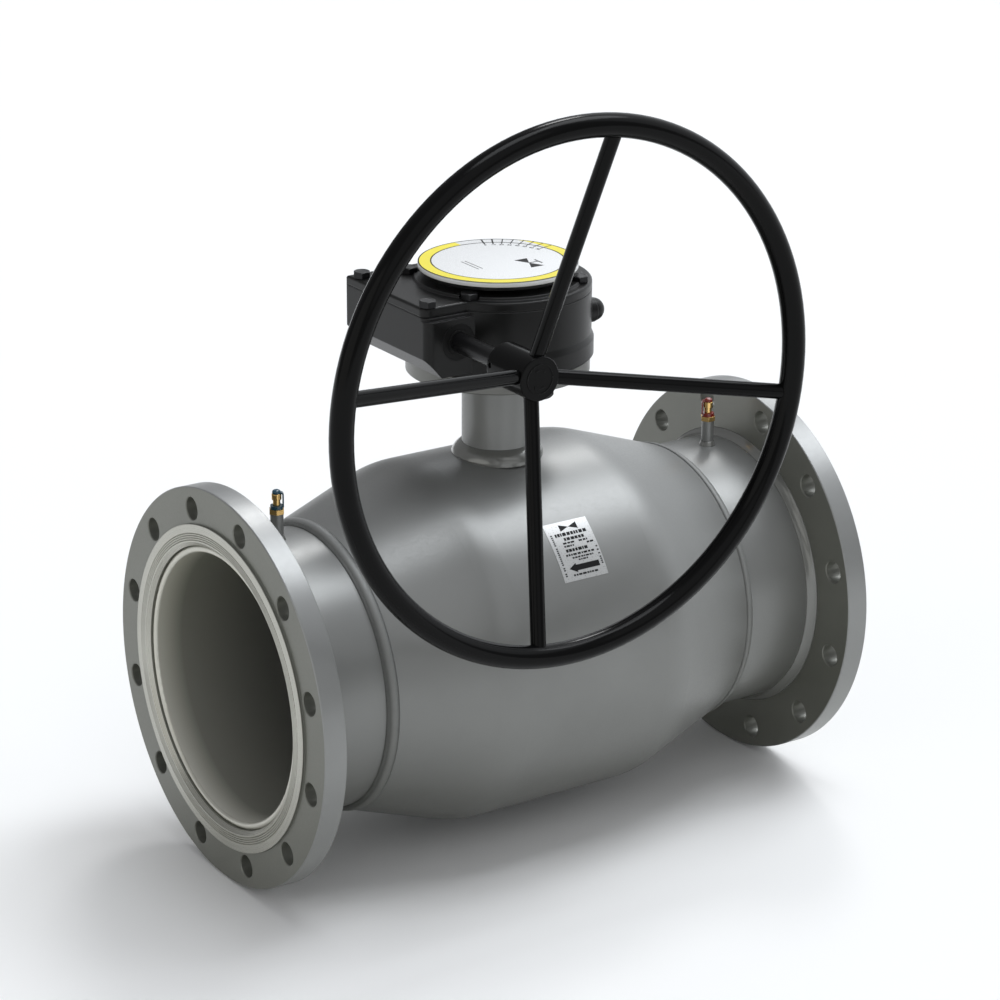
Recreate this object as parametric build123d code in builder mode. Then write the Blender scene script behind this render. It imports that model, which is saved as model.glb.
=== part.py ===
from build123d import *
import os
from math import atan2, cos, degrees, pi, radians, sin, sqrt, tan

# Welded ball valve for a DN 300 pipeline, with a worm gearbox and a handwheel. Millimetres.
# The origin is the centre of the ball. +X runs along the pipe from inlet to outlet,
# +Z runs up the stem, and the handwheel stands on the -Y side. The valve is shown open.

# Pipe ends and flanges
face_to_face = 750
pipe_diameter = 325
pipe_wall = 8
flange_thickness = 28
flange_bore_clearance = 0.5
raised_face_width = 25
raised_face_height = 3
bolt_ring_gap = 17
bolt_hole_diameter = 26
bolt_count = 12
bolt_edge = 25
flange_edge = 1
bore_chamfer = 4.5
pipe_setback = 9
back_weld_leg = 9
weld_hollow = 0.42
face_weld_crown = 3

# Ball and seats
bore_diameter = 250
ball_diameter = 376
ball_wall = 12
seat_step = 6
seat_width = 15
seat_contact = 13.3
seat_depth = 21
cage_depth = 16
cage_wall = 5
spring_gap = 8
spring_thickness = 2.5
spring_inset = 8
sleeve_back_plate = 12
sleeve_cup_wall = 5.5
sleeve_neck = 27
sleeve_lead = 14
sleeve_lead_share = 0.475
contact_gap = 0.3

# Body shell
ball_gap = 16
shell_wall = 9
shell_end_step = 3.5
stub_length = 93
cone_start = 113
shell_bend_radius = 110
seam_width = 11
seam_crown = 2

# Stem
stem_diameter = 50
stem_edge = 2
collar_width = 10
collar_height = 6.5
washer_thickness = 3
tongue_width = 40
tongue_length = 92
tongue_gap = 1
slot_depth = 30
slot_wall = 12
sleeve_bush_wall = 6
running_clearance = 0.05
seal_section = 5.3
seal_pitch = 14
seal_count = 3
seal_start = 50

# Neck and mounting flange
neck_wall = 10
neck_inset = 13
neck_rise = 100
neck_weld_reach = 12
neck_weld_height = 13
neck_weld_fullness = 0.6
mount_thickness = 18
spigot_wall = 24
spigot_height = 4.5
spigot_bolt_gap = 17.5
mount_edge = 23
mount_bolt_diameter = 20
mount_bolt_flats = 30
mount_hole_clearance = 1
mount_weld_leg = 4
head_height_ratio = 0.63
bolt_end_gap = 1

# Worm and wheel
gear_module = 4
wheel_teeth = 42
worm_pitch_diameter = 32
turns_before_mesh = 1.75
gear_backlash = 1
pressure_angle = 20
cut_teeth = 13
quadrant_half_angle = 60
wheel_face = 26
web_thickness = 18
wheel_hub_wall = 15
hub_end_gap = 1
key_width = 14
key_height = 9
key_top_gap = 11
worm_gap = 1
thrust_collar_length = 6
thrust_collar_height = 4
bearing_length = 18
seal_length = 8
seal_lip_width = 3
seal_lip_height = 2

# Gearbox housing
wheel_gap = 6
housing_wall = 12.7
bulge_step = 2.8
bulge_height = 21
bulge_taper = 7
base_flare = 2.5
housing_floor = 12
worm_rise = 47
roof_thickness = 6
boss_wall = 7
boss_gap = 5
bolt_end_wall = 4
chamber_side_reach = 41
chamber_front = -72
chamber_rear = 98
chamber_corner = 10
chamber_margin = 5.5
chamber_chamfer = 19
chamber_chamfer_height = 22
end_cap_bolt_diameter = 6
end_cap_bolt_flats = 10
end_cap_bolt_depth = 12
end_cap_bolt_gap = 5
end_cap_margin = 7
end_cap_thickness = 8
end_cap_spigot = 4
end_cap_edge = 1.5

# Gearbox cover
ledge_inset = 4
ledge_height = 4
gasket_thickness = 1
cover_inset = 7
cover_thickness = 10
cover_edge = 3
plateau_inset = 9.7
plateau_height = 3
plateau_draft = 30
cover_bolt_diameter = 12
cover_bolt_flats = 18
cover_bolt_depth = 14
corner_bolt_inset = 10
front_bolt_inset = 15.5
rear_bolt_inset = 17
inner_bolt_reach = 24
inner_bolt_rear = 30
round_bolt_inset = 13.3
round_bolt_angle = 45
lug_wall = 5
lug_clearance = 1.5

# Stop screws
stop_offset = 48
stop_diameter = 12
stop_nut_height = 6
stop_nut_flats = 18
stop_nut_gap = 1.1
stop_cap_wall = 2
stop_cap_drop = 4.5
stop_boss_margin = 1
stop_boss_length = 14
stop_boss_height = 1
stop_screw_spare = 3

# Dial
dial_diameter = 182.4
dial_thickness = 5.5
dial_edge = 2
carrier_inset = 5.2
carrier_neck_wall = 5
carrier_thickness = 5
carrier_gap = 0.9

# Handwheel
wheel_diameter = 605
rim_diameter = 26
rim_forward = 69
spoke_diameter = 17
spoke_count = 4
spoke_turn = -9.1
spoke_setback = 13
wheel_hub_length = 69
wheel_hub_gap = 90
handwheel_hub_wall = 14
hub_shoulder = 5
hub_front_edge = 1.5
shaft_end_wall = 5
pin_diameter = 6
pin_from_rear = 9
pin_recess = 2
pin_edge = 0.8

# Test nipples
inlet_nipple_setback = 50.3
outlet_nipple_setback = 39.3
nipple_diameter = 15
nipple_bore = 7.5
nipple_height = 31
nipple_weld_leg = 2.5
nipple_weld_height = 6
union_across_flats = 16
union_height = 5.5
union_bore = 3
nipple_spigot_diameter = 6
nipple_spigot_gap = 2.3
cap_wall = 2.5
cap_height = 13.5
cap_waist = 1.3
cap_lid = 1.5
cap_edge = 0.8
strap_ring_margin = 1.75
strap_ring_height = 4
strap_lid_inset = 0.5
strap_thickness = 4
strap_lid_rounding = 3
strap_band_thickness = 1.8
strap_band_gap = 0.9
strap_bend = 3
strap_width = 5
inlet_strap_angle = -30
outlet_strap_angle = 150

# Values worked out from the sizes above: the pipe, the flanges and the shell
pipe_radius = pipe_diameter / 2
pipe_bore = pipe_radius - pipe_wall
flange_bore = pipe_radius + flange_bore_clearance
raised_face_radius = flange_bore + raised_face_width
bolt_ring_radius = raised_face_radius + bolt_ring_gap
flange_radius = bolt_ring_radius + bolt_edge
raised_face = face_to_face / 2
flange_front = raised_face - raised_face_height
flange_back = flange_front - flange_thickness
pipe_end = raised_face - pipe_setback
bore_radius = bore_diameter / 2
ball_radius = ball_diameter / 2
shell_radius = ball_radius + ball_gap + shell_wall
shell_half = flange_back - stub_length
shell_end_radius = pipe_radius + shell_end_step
cone_slope = (shell_radius - shell_end_radius) / (shell_half - cone_start)

# The seats, from the sphere that their faces follow outwards
seat_sphere = ball_radius + contact_gap
seat_inner = bore_radius + seat_step
seat_outer = seat_inner + seat_width
seat_face = sqrt(seat_sphere**2 - (seat_inner + seat_contact) ** 2)
seat_back = seat_face + seat_depth
cage_outer = seat_outer + cage_wall
cage_back = seat_back + cage_depth
sleeve_start = cage_back + spring_gap
pipe_start = sleeve_start + sleeve_back_plate

# The stem and the neck
stem_radius = stem_diameter / 2
collar_radius = stem_radius + collar_width
neck_bore = stem_radius + sleeve_bush_wall
neck_radius = neck_bore + neck_wall
neck_bottom = shell_radius - neck_inset
lowest_seal = neck_bottom + seal_start
mount_bottom = shell_radius + neck_rise
mount_top = mount_bottom + mount_thickness
spigot_bottom = mount_top - spigot_height
spigot_radius = neck_radius + spigot_wall
mount_bolt_ring = spigot_radius + spigot_bolt_gap
mount_radius = mount_bolt_ring + mount_edge

# The worm and the wheel
wheel_pitch_radius = gear_module * wheel_teeth / 2
worm_pitch_radius = worm_pitch_diameter / 2
tooth_root_depth = 1.25 * gear_module
tip_radius = wheel_pitch_radius + gear_module
root_radius = wheel_pitch_radius - tooth_root_depth
worm_x = -(wheel_pitch_radius + worm_pitch_radius)
worm_height = mount_top + worm_rise
wheel_centre = (worm_x, worm_height)
axial_pitch = gear_module * pi
tooth_pitch_angle = 360 / wheel_teeth
quadrant_middle = 180 + 45
wheel_hub_radius = stem_radius + wheel_hub_wall
shaft_radius = worm_pitch_radius - tooth_root_depth
worm_bore_radius = worm_pitch_radius + gear_module + worm_gap
end_cap_bolt_ring = worm_bore_radius + end_cap_bolt_gap
end_cap_radius = end_cap_bolt_ring + end_cap_margin

# The gearbox and the dial
cavity_radius = tip_radius + wheel_gap
housing_radius = cavity_radius + housing_wall
bulge_radius = housing_radius + bulge_step
base_radius = bulge_radius - base_flare
chamber_side = worm_x - chamber_side_reach
chamber_bottom = worm_height - end_cap_radius - chamber_margin
housing_top = worm_height + worm_bore_radius + roof_thickness
ledge_top = housing_top + ledge_height
cover_bottom = ledge_top + gasket_thickness
cover_top = cover_bottom + cover_thickness
plateau_top = cover_top + plateau_height
plateau_radius = housing_radius - plateau_inset
carrier_bottom = cover_top + cover_bolt_diameter * head_height_ratio + carrier_gap
carrier_radius = dial_diameter / 2 - carrier_inset
carrier_neck_radius = stem_radius + carrier_neck_wall
dial_bottom = carrier_bottom + carrier_thickness
key_bottom = mount_top + housing_floor
key_length = cover_bottom - key_top_gap - key_bottom

# The stop screws and the handwheel
stop_face = sqrt(housing_radius**2 - stop_offset**2) + stop_boss_height
stop_places = [(stop_offset, worm_height), (-stop_offset, worm_height)]
stop_cap_radius = stop_nut_flats / sqrt(3) + stop_nut_gap + stop_cap_wall
stop_boss_radius = stop_cap_radius + stop_boss_margin
rim_radius = (wheel_diameter - rim_diameter) / 2
hub_radius = shaft_radius + handwheel_hub_wall
hub_rear = chamber_front - wheel_hub_gap
wheel_hub_front = hub_rear - wheel_hub_length
spoke_root = wheel_hub_front + spoke_setback
rim_plane = wheel_hub_front - rim_forward
pin_direction = (cos(radians(spoke_turn)), 0, sin(radians(spoke_turn)))

# The test nipples
inlet_nipple_x = -(flange_back - inlet_nipple_setback)
outlet_nipple_x = flange_back - outlet_nipple_setback
nipple_top = pipe_radius + nipple_height
nipple_spigot = nipple_spigot_diameter / 2
cap_radius = nipple_spigot + cap_wall
strap_ring_radius = cap_radius + strap_ring_margin
strap_lid_radius = cap_radius - strap_lid_inset
strap_reach = cap_radius + strap_band_gap + strap_band_thickness / 2
os.makedirs("parts", exist_ok=True)


def write(part, name):
    part.label = name
    export_step(part, f"parts/{name}.step")


def both_ends(half):
    # A ring is drawn at the outlet, and its mirror image is the one at the inlet.
    mirror(half, about=Plane.YZ)


# Flanges: a ring with a raised face, drilled so that the holes straddle the centre lines
for end, side in (("inlet", -1), ("outlet", 1)):
    with BuildPart() as flange:
        with BuildSketch(Plane.XY):
            with BuildLine():
                Polyline(
                    (side * flange_back, flange_bore),
                    (side * flange_back, flange_radius),
                    (side * flange_front, flange_radius),
                    (side * flange_front, raised_face_radius),
                    (side * raised_face, raised_face_radius),
                    (side * raised_face, flange_bore + bore_chamfer),
                    (side * (raised_face - bore_chamfer), flange_bore),
                    close=True,
                )
            make_face()
        revolve(axis=Axis.X)
        rims = flange.edges().filter_by(GeomType.CIRCLE)
        chamfer(rims.filter_by(lambda e: abs(e.radius - flange_radius) < 0.01), flange_edge)
        with BuildSketch(Plane.YZ.offset(side * flange_back)):
            with PolarLocations(bolt_ring_radius, bolt_count, 180 / bolt_count):
                Circle(bolt_hole_diameter / 2)
        extrude(amount=side * flange_thickness, mode=Mode.SUBTRACT)
    write(flange.part, f"{end}_flange")

# Pipe ends: plain tubes from the seats to the face weld of the flange, drilled for the nipple
for end, side, nipple_x in (("inlet", -1, inlet_nipple_x), ("outlet", 1, outlet_nipple_x)):
    with BuildPart() as pipe:
        with BuildSketch(Plane.YZ.offset(side * pipe_start)):
            Circle(pipe_radius)
            Circle(pipe_bore, mode=Mode.SUBTRACT)
        extrude(amount=side * (pipe_end - pipe_start))
        with BuildSketch(Plane.XY):
            with Locations((nipple_x, 0)):
                Circle(nipple_bore / 2)
        extrude(amount=pipe_radius + 1, mode=Mode.SUBTRACT)
    write(pipe.part, f"{end}_pipe")

# Fillet weld behind each flange, concave towards the corner
with BuildPart() as back_welds:
    with BuildSketch(Plane.XY):
        with BuildLine():
            toe_on_pipe = (flange_back - back_weld_leg, pipe_radius)
            toe_on_flange = (flange_back, pipe_radius + back_weld_leg)
            hollow = back_weld_leg * weld_hollow
            mid_weld = (flange_back - hollow, pipe_radius + hollow)
            Polyline(toe_on_flange, (flange_back, pipe_radius), toe_on_pipe)
            ThreePointArc(toe_on_pipe, mid_weld, toe_on_flange)
        make_face()
    revolve(axis=Axis.X)
    both_ends(back_welds.part)
write(back_welds.part, "flange_back_welds")

# Rounded weld that closes the end of each pipe to the bore of its flange
with BuildPart() as face_welds:
    with BuildSketch(Plane.XY):
        with BuildLine():
            inner = (pipe_end, pipe_bore)
            outer = (pipe_end, flange_bore)
            crown = (pipe_end + face_weld_crown, (pipe_bore + flange_bore) / 2)
            Line(inner, outer)
            ThreePointArc(outer, crown, inner)
        make_face()
    revolve(axis=Axis.X)
    both_ends(face_welds.part)
write(face_welds.part, "flange_face_welds")

# Body shell: one tube drawn down to a cone at each end and bored there to fit over the pipe,
# with a hole for the neck
inner_cone_offset = shell_wall * sqrt(1 + cone_slope**2)
inner_cone_start = cone_start - shell_wall * (sqrt(1 + cone_slope**2) - 1) / cone_slope
with BuildPart() as body_shell:
    with BuildSketch(Plane.XY) as shell_profile:
        with BuildLine():
            outside = FilletPolyline(
                (-shell_half, shell_end_radius),
                (-cone_start, shell_radius),
                (cone_start, shell_radius),
                (shell_half, shell_end_radius),
                radius=shell_bend_radius,
            )
            inside = FilletPolyline(
                (-shell_half, shell_end_radius - inner_cone_offset),
                (-inner_cone_start, shell_radius - shell_wall),
                (inner_cone_start, shell_radius - shell_wall),
                (shell_half, shell_end_radius - inner_cone_offset),
                radius=shell_bend_radius - shell_wall,
            )
            Line(outside @ 0, inside @ 0)
            Line(outside @ 1, inside @ 1)
        make_face()
    revolve(axis=Axis.X)
    with BuildSketch(Plane.YZ.offset(-shell_half)):
        Circle(pipe_radius)
    extrude(amount=2 * shell_half, mode=Mode.SUBTRACT)
    with BuildSketch(Plane.XY):
        Circle(neck_radius)
    extrude(amount=shell_radius + 1, mode=Mode.SUBTRACT)
write(body_shell.part, "body_shell")

# Seam weld at each end of the shell: a low bead on the cone that steps down to the pipe
with BuildPart() as seam_welds:
    with BuildSketch(Plane.XY):
        with BuildLine():
            bead_start = (shell_half - seam_width, shell_end_radius + seam_width * cone_slope)
            bead_mid = (
                shell_half - seam_width / 2,
                shell_end_radius + seam_width * cone_slope / 2 + seam_crown,
            )
            bead_end = (shell_half, shell_end_radius + seam_crown / 2)
            pipe_toe = (shell_half + seam_crown, pipe_radius)
            ThreePointArc(bead_start, bead_mid, bead_end)
            Line(bead_end, pipe_toe)
            Line(pipe_toe, (shell_half, pipe_radius))
            Line((shell_half, pipe_radius), (shell_half, shell_end_radius))
            Line((shell_half, shell_end_radius), bead_start)
        make_face()
    revolve(axis=Axis.X)
    both_ends(seam_welds.part)
write(seam_welds.part, "shell_seam_welds")


def half_width(radius, height):
    # How far a circle of this radius reaches sideways at this height
    return sqrt(radius**2 - height**2)


# Ball: a hollow sphere round a bore tube. The hollow is a ring round the bore, and it stops
# short of the drive slot, which is cut in solid metal at the top.
cavity_floor = bore_radius + ball_wall
with BuildPart() as ball_hollow:
    with BuildSketch(Plane.XY):
        with BuildLine():
            reach = half_width(ball_radius - ball_wall, cavity_floor)
            ThreePointArc((-reach, cavity_floor), (0, ball_radius - ball_wall), (reach, cavity_floor))
            Line((reach, cavity_floor), (-reach, cavity_floor))
        make_face()
    revolve(axis=Axis.X)
    with BuildSketch(Plane.XY):
        Rectangle(tongue_width + 2 * slot_wall, ball_diameter)
    extrude(amount=ball_radius, mode=Mode.SUBTRACT)

with BuildPart() as ball:
    with BuildSketch(Plane.XY):
        with BuildLine():
            reach = half_width(ball_radius, bore_radius)
            ThreePointArc((-reach, bore_radius), (0, ball_radius), (reach, bore_radius))
            Line((reach, bore_radius), (-reach, bore_radius))
        make_face()
    revolve(axis=Axis.X)
    add(ball_hollow.part, mode=Mode.SUBTRACT)
    with BuildSketch(Plane.XY.offset(ball_radius - slot_depth)):
        Rectangle(tongue_width + 2 * contact_gap, ball_diameter)
    extrude(amount=slot_depth, mode=Mode.SUBTRACT)
write(ball.part, "ball")

# Seat rings: soft rings whose faces follow the ball
with BuildPart() as seat_rings:
    with BuildSketch(Plane.XY):
        with BuildLine():
            inner_lip = (half_width(seat_sphere, seat_inner), seat_inner)
            outer_lip = (seat_face, seat_inner + seat_contact)
            Polyline(
                inner_lip,
                (seat_back, seat_inner),
                (seat_back, seat_outer),
                (seat_face, seat_outer),
                outer_lip,
            )
            RadiusArc(outer_lip, inner_lip, seat_sphere)
        make_face()
    revolve(axis=Axis.X)
    both_ends(seat_rings.part)
write(seat_rings.part, "seat_rings")

# Seat cages: steel rings that hold the soft rings
with BuildPart() as seat_cages:
    with BuildSketch(Plane.XY):
        with BuildLine():
            Polyline(
                (seat_back, bore_radius),
                (cage_back, bore_radius),
                (cage_back, cage_outer),
                (seat_face + cage_wall, cage_outer),
                (seat_face + cage_wall, seat_outer),
                (seat_back, seat_outer),
                close=True,
            )
        make_face()
    revolve(axis=Axis.X)
    both_ends(seat_cages.part)
write(seat_cages.part, "seat_cages")

# Disc springs: shallow cones that press the cages towards the ball
with BuildPart() as disc_springs:
    with BuildSketch(Plane.XY):
        with BuildLine():
            Polyline(
                (sleeve_start - spring_thickness, bore_radius + spring_inset),
                (sleeve_start, bore_radius + spring_inset),
                (cage_back + spring_thickness, cage_outer - cage_wall),
                (cage_back, cage_outer - cage_wall),
                close=True,
            )
        make_face()
    revolve(axis=Axis.X)
    both_ends(disc_springs.part)
write(disc_springs.part, "disc_springs")

# Support sleeves: each has a neck in the end of the pipe, bored to the port and tapered towards
# the pipe, and a cup that guides the cage
cup_bore = cage_outer + contact_gap
cup_start = seat_back - 3 * cage_wall
lead_radius = bore_radius + (pipe_bore - bore_radius) * sleeve_lead_share
with BuildPart() as support_sleeves:
    with BuildSketch(Plane.XY):
        with BuildLine():
            Polyline(
                (sleeve_start, bore_radius),
                (pipe_start + sleeve_neck - sleeve_lead, bore_radius),
                (pipe_start + sleeve_neck, lead_radius),
                (pipe_start + sleeve_neck, pipe_bore),
                (pipe_start, pipe_bore),
                (pipe_start, cup_bore + sleeve_cup_wall),
                (cup_start, cup_bore + sleeve_cup_wall),
                (cup_start, cup_bore),
                (sleeve_start, cup_bore),
                close=True,
            )
        make_face()
    revolve(axis=Axis.X)
    both_ends(support_sleeves.part)
write(support_sleeves.part, "support_sleeves")

# Neck tube, its top turned down to the recess of the mounting flange
with BuildPart() as neck_tube:
    with BuildSketch(Plane.XY.offset(neck_bottom)):
        Circle(neck_radius)
        Circle(neck_bore, mode=Mode.SUBTRACT)
    extrude(amount=spigot_bottom - neck_bottom)
write(neck_tube.part, "neck_tube")

# Full, rounded weld where the neck enters the shell
with BuildPart() as neck_weld:
    with BuildSketch(Plane.XZ):
        with BuildLine():
            weld_top = (neck_radius, shell_radius + neck_weld_height)
            weld_foot = (neck_radius + neck_weld_reach, shell_radius)
            weld_mid = (
                neck_radius + neck_weld_reach * neck_weld_fullness,
                shell_radius + neck_weld_height * neck_weld_fullness,
            )
            weld_under = shell_radius - shell_wall / 2
            ThreePointArc(weld_top, weld_mid, weld_foot)
            Polyline(
                weld_foot,
                (neck_radius + neck_weld_reach, weld_under),
                (neck_radius, weld_under),
                weld_top,
            )
        make_face()
    revolve(axis=Axis.Z)
    with BuildPart(mode=Mode.PRIVATE) as shell_outside:
        with BuildSketch(Plane.YZ.offset(-cone_start)):
            Circle(shell_radius)
        extrude(amount=2 * cone_start)
    add(shell_outside.part, mode=Mode.SUBTRACT)
write(neck_weld.part, "neck_weld")

# Mounting flange that carries the gearbox, with a recess for its spigot
with BuildPart() as mounting_flange:
    with BuildSketch(Plane.XY.offset(mount_bottom)):
        Circle(mount_radius)
        Circle(neck_radius, mode=Mode.SUBTRACT)
        with PolarLocations(mount_bolt_ring, 4):
            Circle(mount_bolt_diameter / 2 + mount_hole_clearance, mode=Mode.SUBTRACT)
    extrude(amount=mount_thickness)
    with BuildSketch(Plane.XY.offset(spigot_bottom)):
        Circle(spigot_radius + contact_gap)
    extrude(amount=spigot_height, mode=Mode.SUBTRACT)
    rims = mounting_flange.edges().filter_by(GeomType.CIRCLE)
    chamfer(rims.filter_by(lambda e: abs(e.radius - mount_radius) < 0.01), flange_edge)
write(mounting_flange.part, "mounting_flange")

# Fillet weld under the mounting flange
with BuildPart() as mount_weld:
    with BuildSketch(Plane.XZ):
        with BuildLine():
            Polyline(
                (neck_radius, mount_bottom),
                (neck_radius + mount_weld_leg, mount_bottom),
                (neck_radius, mount_bottom - mount_weld_leg),
                close=True,
            )
        make_face()
    revolve(axis=Axis.Z)
write(mount_weld.part, "mount_weld")

# Stem: drive tongue, blow-out collar, seal grooves, and keyways under the worm wheel
stem_top = cover_bottom
tongue_bottom = ball_radius - slot_depth + tongue_gap
collar_bottom = neck_bottom - washer_thickness - collar_height
groove_radius = stem_radius - seal_section
with BuildPart() as stem:
    with BuildSketch(Plane.XY.offset(tongue_bottom)):
        Circle(tongue_length / 2)
        Rectangle(tongue_width, tongue_length, mode=Mode.INTERSECT)
    extrude(amount=collar_bottom - tongue_bottom)
    with BuildSketch(Plane.XY.offset(collar_bottom)):
        Circle(collar_radius)
    extrude(amount=collar_height)
    with BuildSketch(Plane.XY.offset(collar_bottom)):
        Circle(stem_radius)
    extrude(amount=stem_top - collar_bottom)
    chamfer(stem.edges().group_by(Axis.Z)[-1], stem_edge)
    for ring in range(seal_count):
        with BuildSketch(Plane.XY.offset(lowest_seal + ring * seal_pitch - seal_section / 2)):
            Circle(stem_radius)
            Circle(groove_radius, mode=Mode.SUBTRACT)
        extrude(amount=seal_section, mode=Mode.SUBTRACT)
    with BuildSketch(Plane.XY.offset(key_bottom)):
        with PolarLocations(stem_radius, 2):
            Rectangle(key_height, key_width)
    extrude(amount=key_length, mode=Mode.SUBTRACT)
write(stem.part, "stem")

# Stem seals: round rings in the grooves of the stem
with BuildPart() as stem_seals:
    for ring in range(seal_count):
        with BuildSketch(Plane.XZ):
            with Locations((groove_radius + seal_section / 2, lowest_seal + ring * seal_pitch)):
                Circle(seal_section / 2)
        revolve(axis=Axis.Z)
write(stem_seals.part, "stem_seals")

# Thrust washer between the collar and the end of the neck
with BuildPart() as thrust_washer:
    with BuildSketch(Plane.XY.offset(neck_bottom - washer_thickness + running_clearance)):
        Circle(collar_radius)
        Circle(stem_radius + running_clearance, mode=Mode.SUBTRACT)
    extrude(amount=washer_thickness - running_clearance)
write(thrust_washer.part, "thrust_washer")

# Stem sleeve: a long bush that lines the neck
with BuildPart() as stem_sleeve:
    with BuildSketch(Plane.XY.offset(neck_bottom)):
        Circle(neck_bore)
        Circle(stem_radius + running_clearance, mode=Mode.SUBTRACT)
    extrude(amount=spigot_bottom - neck_bottom)
write(stem_sleeve.part, "stem_sleeve")


# Seen from above the gearbox is round over the worm wheel and square over the worm. The square
# has a rounded corner at the front and a sharp one at the rear, and only its front steps in.
def gearbox_outline(inset):
    front = chamber_front + inset
    Circle(housing_radius)
    with Locations((chamber_side / 2, (front + chamber_rear) / 2)):
        RectangleRounded(-chamber_side, chamber_rear - front, chamber_corner)
    with Locations((chamber_side / 2, chamber_rear / 2)):
        Rectangle(-chamber_side, chamber_rear)


def cover_bolt_places():
    corner_x = chamber_side + corner_bolt_inset
    inner_x = worm_x + inner_bolt_reach
    round_x = (housing_radius - round_bolt_inset) * cos(radians(round_bolt_angle))
    round_y = (housing_radius - round_bolt_inset) * sin(radians(round_bolt_angle))
    return [
        (corner_x, chamber_front + front_bolt_inset),
        (corner_x, chamber_rear - rear_bolt_inset),
        (inner_x, chamber_front + front_bolt_inset),
        (inner_x, chamber_rear - inner_bolt_rear),
        (round_x, round_y),
        (round_x, -round_y),
    ]


def cavity_outline():
    # The round cavity over the wheel, less a lug round each bolt of the cover
    Circle(cavity_radius)
    with Locations(*cover_bolt_places()):
        Circle(cover_bolt_diameter / 2 + lug_wall, mode=Mode.SUBTRACT)


# Gearbox housing: a round pot over the flange and a square chamber along the worm
boss_radius = mount_bolt_diameter / 2 + boss_wall
boss_top = worm_height - worm_bore_radius - boss_gap
bolt_depth = boss_top - mount_top - bolt_end_wall
floor_top = mount_top + housing_floor
lug_bottom = worm_height + wheel_face / 2 + lug_clearance
with BuildPart() as housing:
    with BuildSketch(Plane.XZ):
        with BuildLine():
            Polyline(
                (0, mount_top),
                (base_radius, mount_top),
                (bulge_radius, mount_top + base_flare),
                (bulge_radius, mount_top + bulge_height),
                (housing_radius, mount_top + bulge_height + bulge_taper),
                (housing_radius, housing_top),
                (0, housing_top),
                close=True,
            )
        make_face()
    revolve(axis=Axis.Z)
    with BuildSketch(Plane.XY.offset(chamber_bottom)):
        gearbox_outline(0)
    extrude(amount=housing_top - chamber_bottom)
    with BuildSketch(Plane.XZ.offset(-chamber_rear)):
        Polygon(
            (chamber_side, chamber_bottom),
            (chamber_side + chamber_chamfer, chamber_bottom),
            (chamber_side, chamber_bottom + chamber_chamfer_height),
            align=None,
        )
    extrude(amount=chamber_rear - chamber_front, mode=Mode.SUBTRACT)
    with BuildSketch(Plane.XY.offset(housing_top)):
        gearbox_outline(ledge_inset)
    extrude(amount=ledge_height)
    with BuildSketch(Plane.YZ.offset(stop_face)):
        with Locations(*stop_places):
            Circle(stop_boss_radius)
    extrude(amount=housing_radius - stop_face, mode=Mode.SUBTRACT)
    with BuildSketch(Plane.YZ.offset(stop_face)):
        with Locations(*stop_places):
            Circle(stop_boss_radius)
    extrude(amount=-stop_boss_length)
    with BuildSketch(Plane.XY.offset(spigot_bottom)):
        Circle(spigot_radius)
    extrude(amount=spigot_height)
    with BuildSketch(Plane.XY.offset(floor_top)):
        Circle(cavity_radius)
        with PolarLocations(mount_bolt_ring, 4):
            Circle(boss_radius, mode=Mode.SUBTRACT)
    extrude(amount=boss_top - floor_top, mode=Mode.SUBTRACT)
    with BuildSketch(Plane.XY.offset(boss_top)):
        Circle(cavity_radius)
    extrude(amount=lug_bottom - boss_top, mode=Mode.SUBTRACT)
    with BuildSketch(Plane.XY.offset(lug_bottom)):
        cavity_outline()
    extrude(amount=ledge_top - lug_bottom, mode=Mode.SUBTRACT)
    with BuildSketch(Plane.XZ.offset(-chamber_rear)):
        with Locations(wheel_centre):
            Circle(worm_bore_radius)
    extrude(amount=chamber_rear - chamber_front, mode=Mode.SUBTRACT)
    with BuildSketch(Plane.XY.offset(spigot_bottom)):
        Circle(wheel_hub_radius + running_clearance)
    extrude(amount=floor_top - spigot_bottom, mode=Mode.SUBTRACT)
    with BuildSketch(Plane.XY.offset(mount_top)):
        with PolarLocations(mount_bolt_ring, 4):
            Circle(mount_bolt_diameter / 2)
    extrude(amount=bolt_depth, mode=Mode.SUBTRACT)
    with BuildSketch(Plane.XY.offset(ledge_top - cover_bolt_depth)):
        with Locations(*cover_bolt_places()):
            Circle(cover_bolt_diameter / 2)
    extrude(amount=cover_bolt_depth, mode=Mode.SUBTRACT)
    with BuildSketch(Plane.YZ):
        with Locations(*stop_places):
            Circle(stop_diameter / 2)
    extrude(amount=housing_radius, mode=Mode.SUBTRACT)
    with BuildSketch(Plane.XZ.offset(-chamber_rear)):
        with Locations(wheel_centre):
            with PolarLocations(end_cap_bolt_ring, 4, 45):
                Circle(end_cap_bolt_diameter / 2)
    extrude(amount=end_cap_bolt_depth, mode=Mode.SUBTRACT)
write(housing.part, "gearbox_housing")

# Gasket between the housing and the cover
with BuildPart() as gasket:
    with BuildSketch(Plane.XY.offset(ledge_top)):
        gearbox_outline(cover_inset)
    extrude(amount=gasket_thickness)
    with BuildSketch(Plane.XY.offset(ledge_top)):
        cavity_outline()
    extrude(amount=gasket_thickness, mode=Mode.SUBTRACT)
    with BuildSketch(Plane.XY.offset(ledge_top)):
        with Locations(*cover_bolt_places()):
            Circle(cover_bolt_diameter / 2)
    extrude(amount=gasket_thickness, mode=Mode.SUBTRACT)
write(gasket.part, "cover_gasket")

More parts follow.
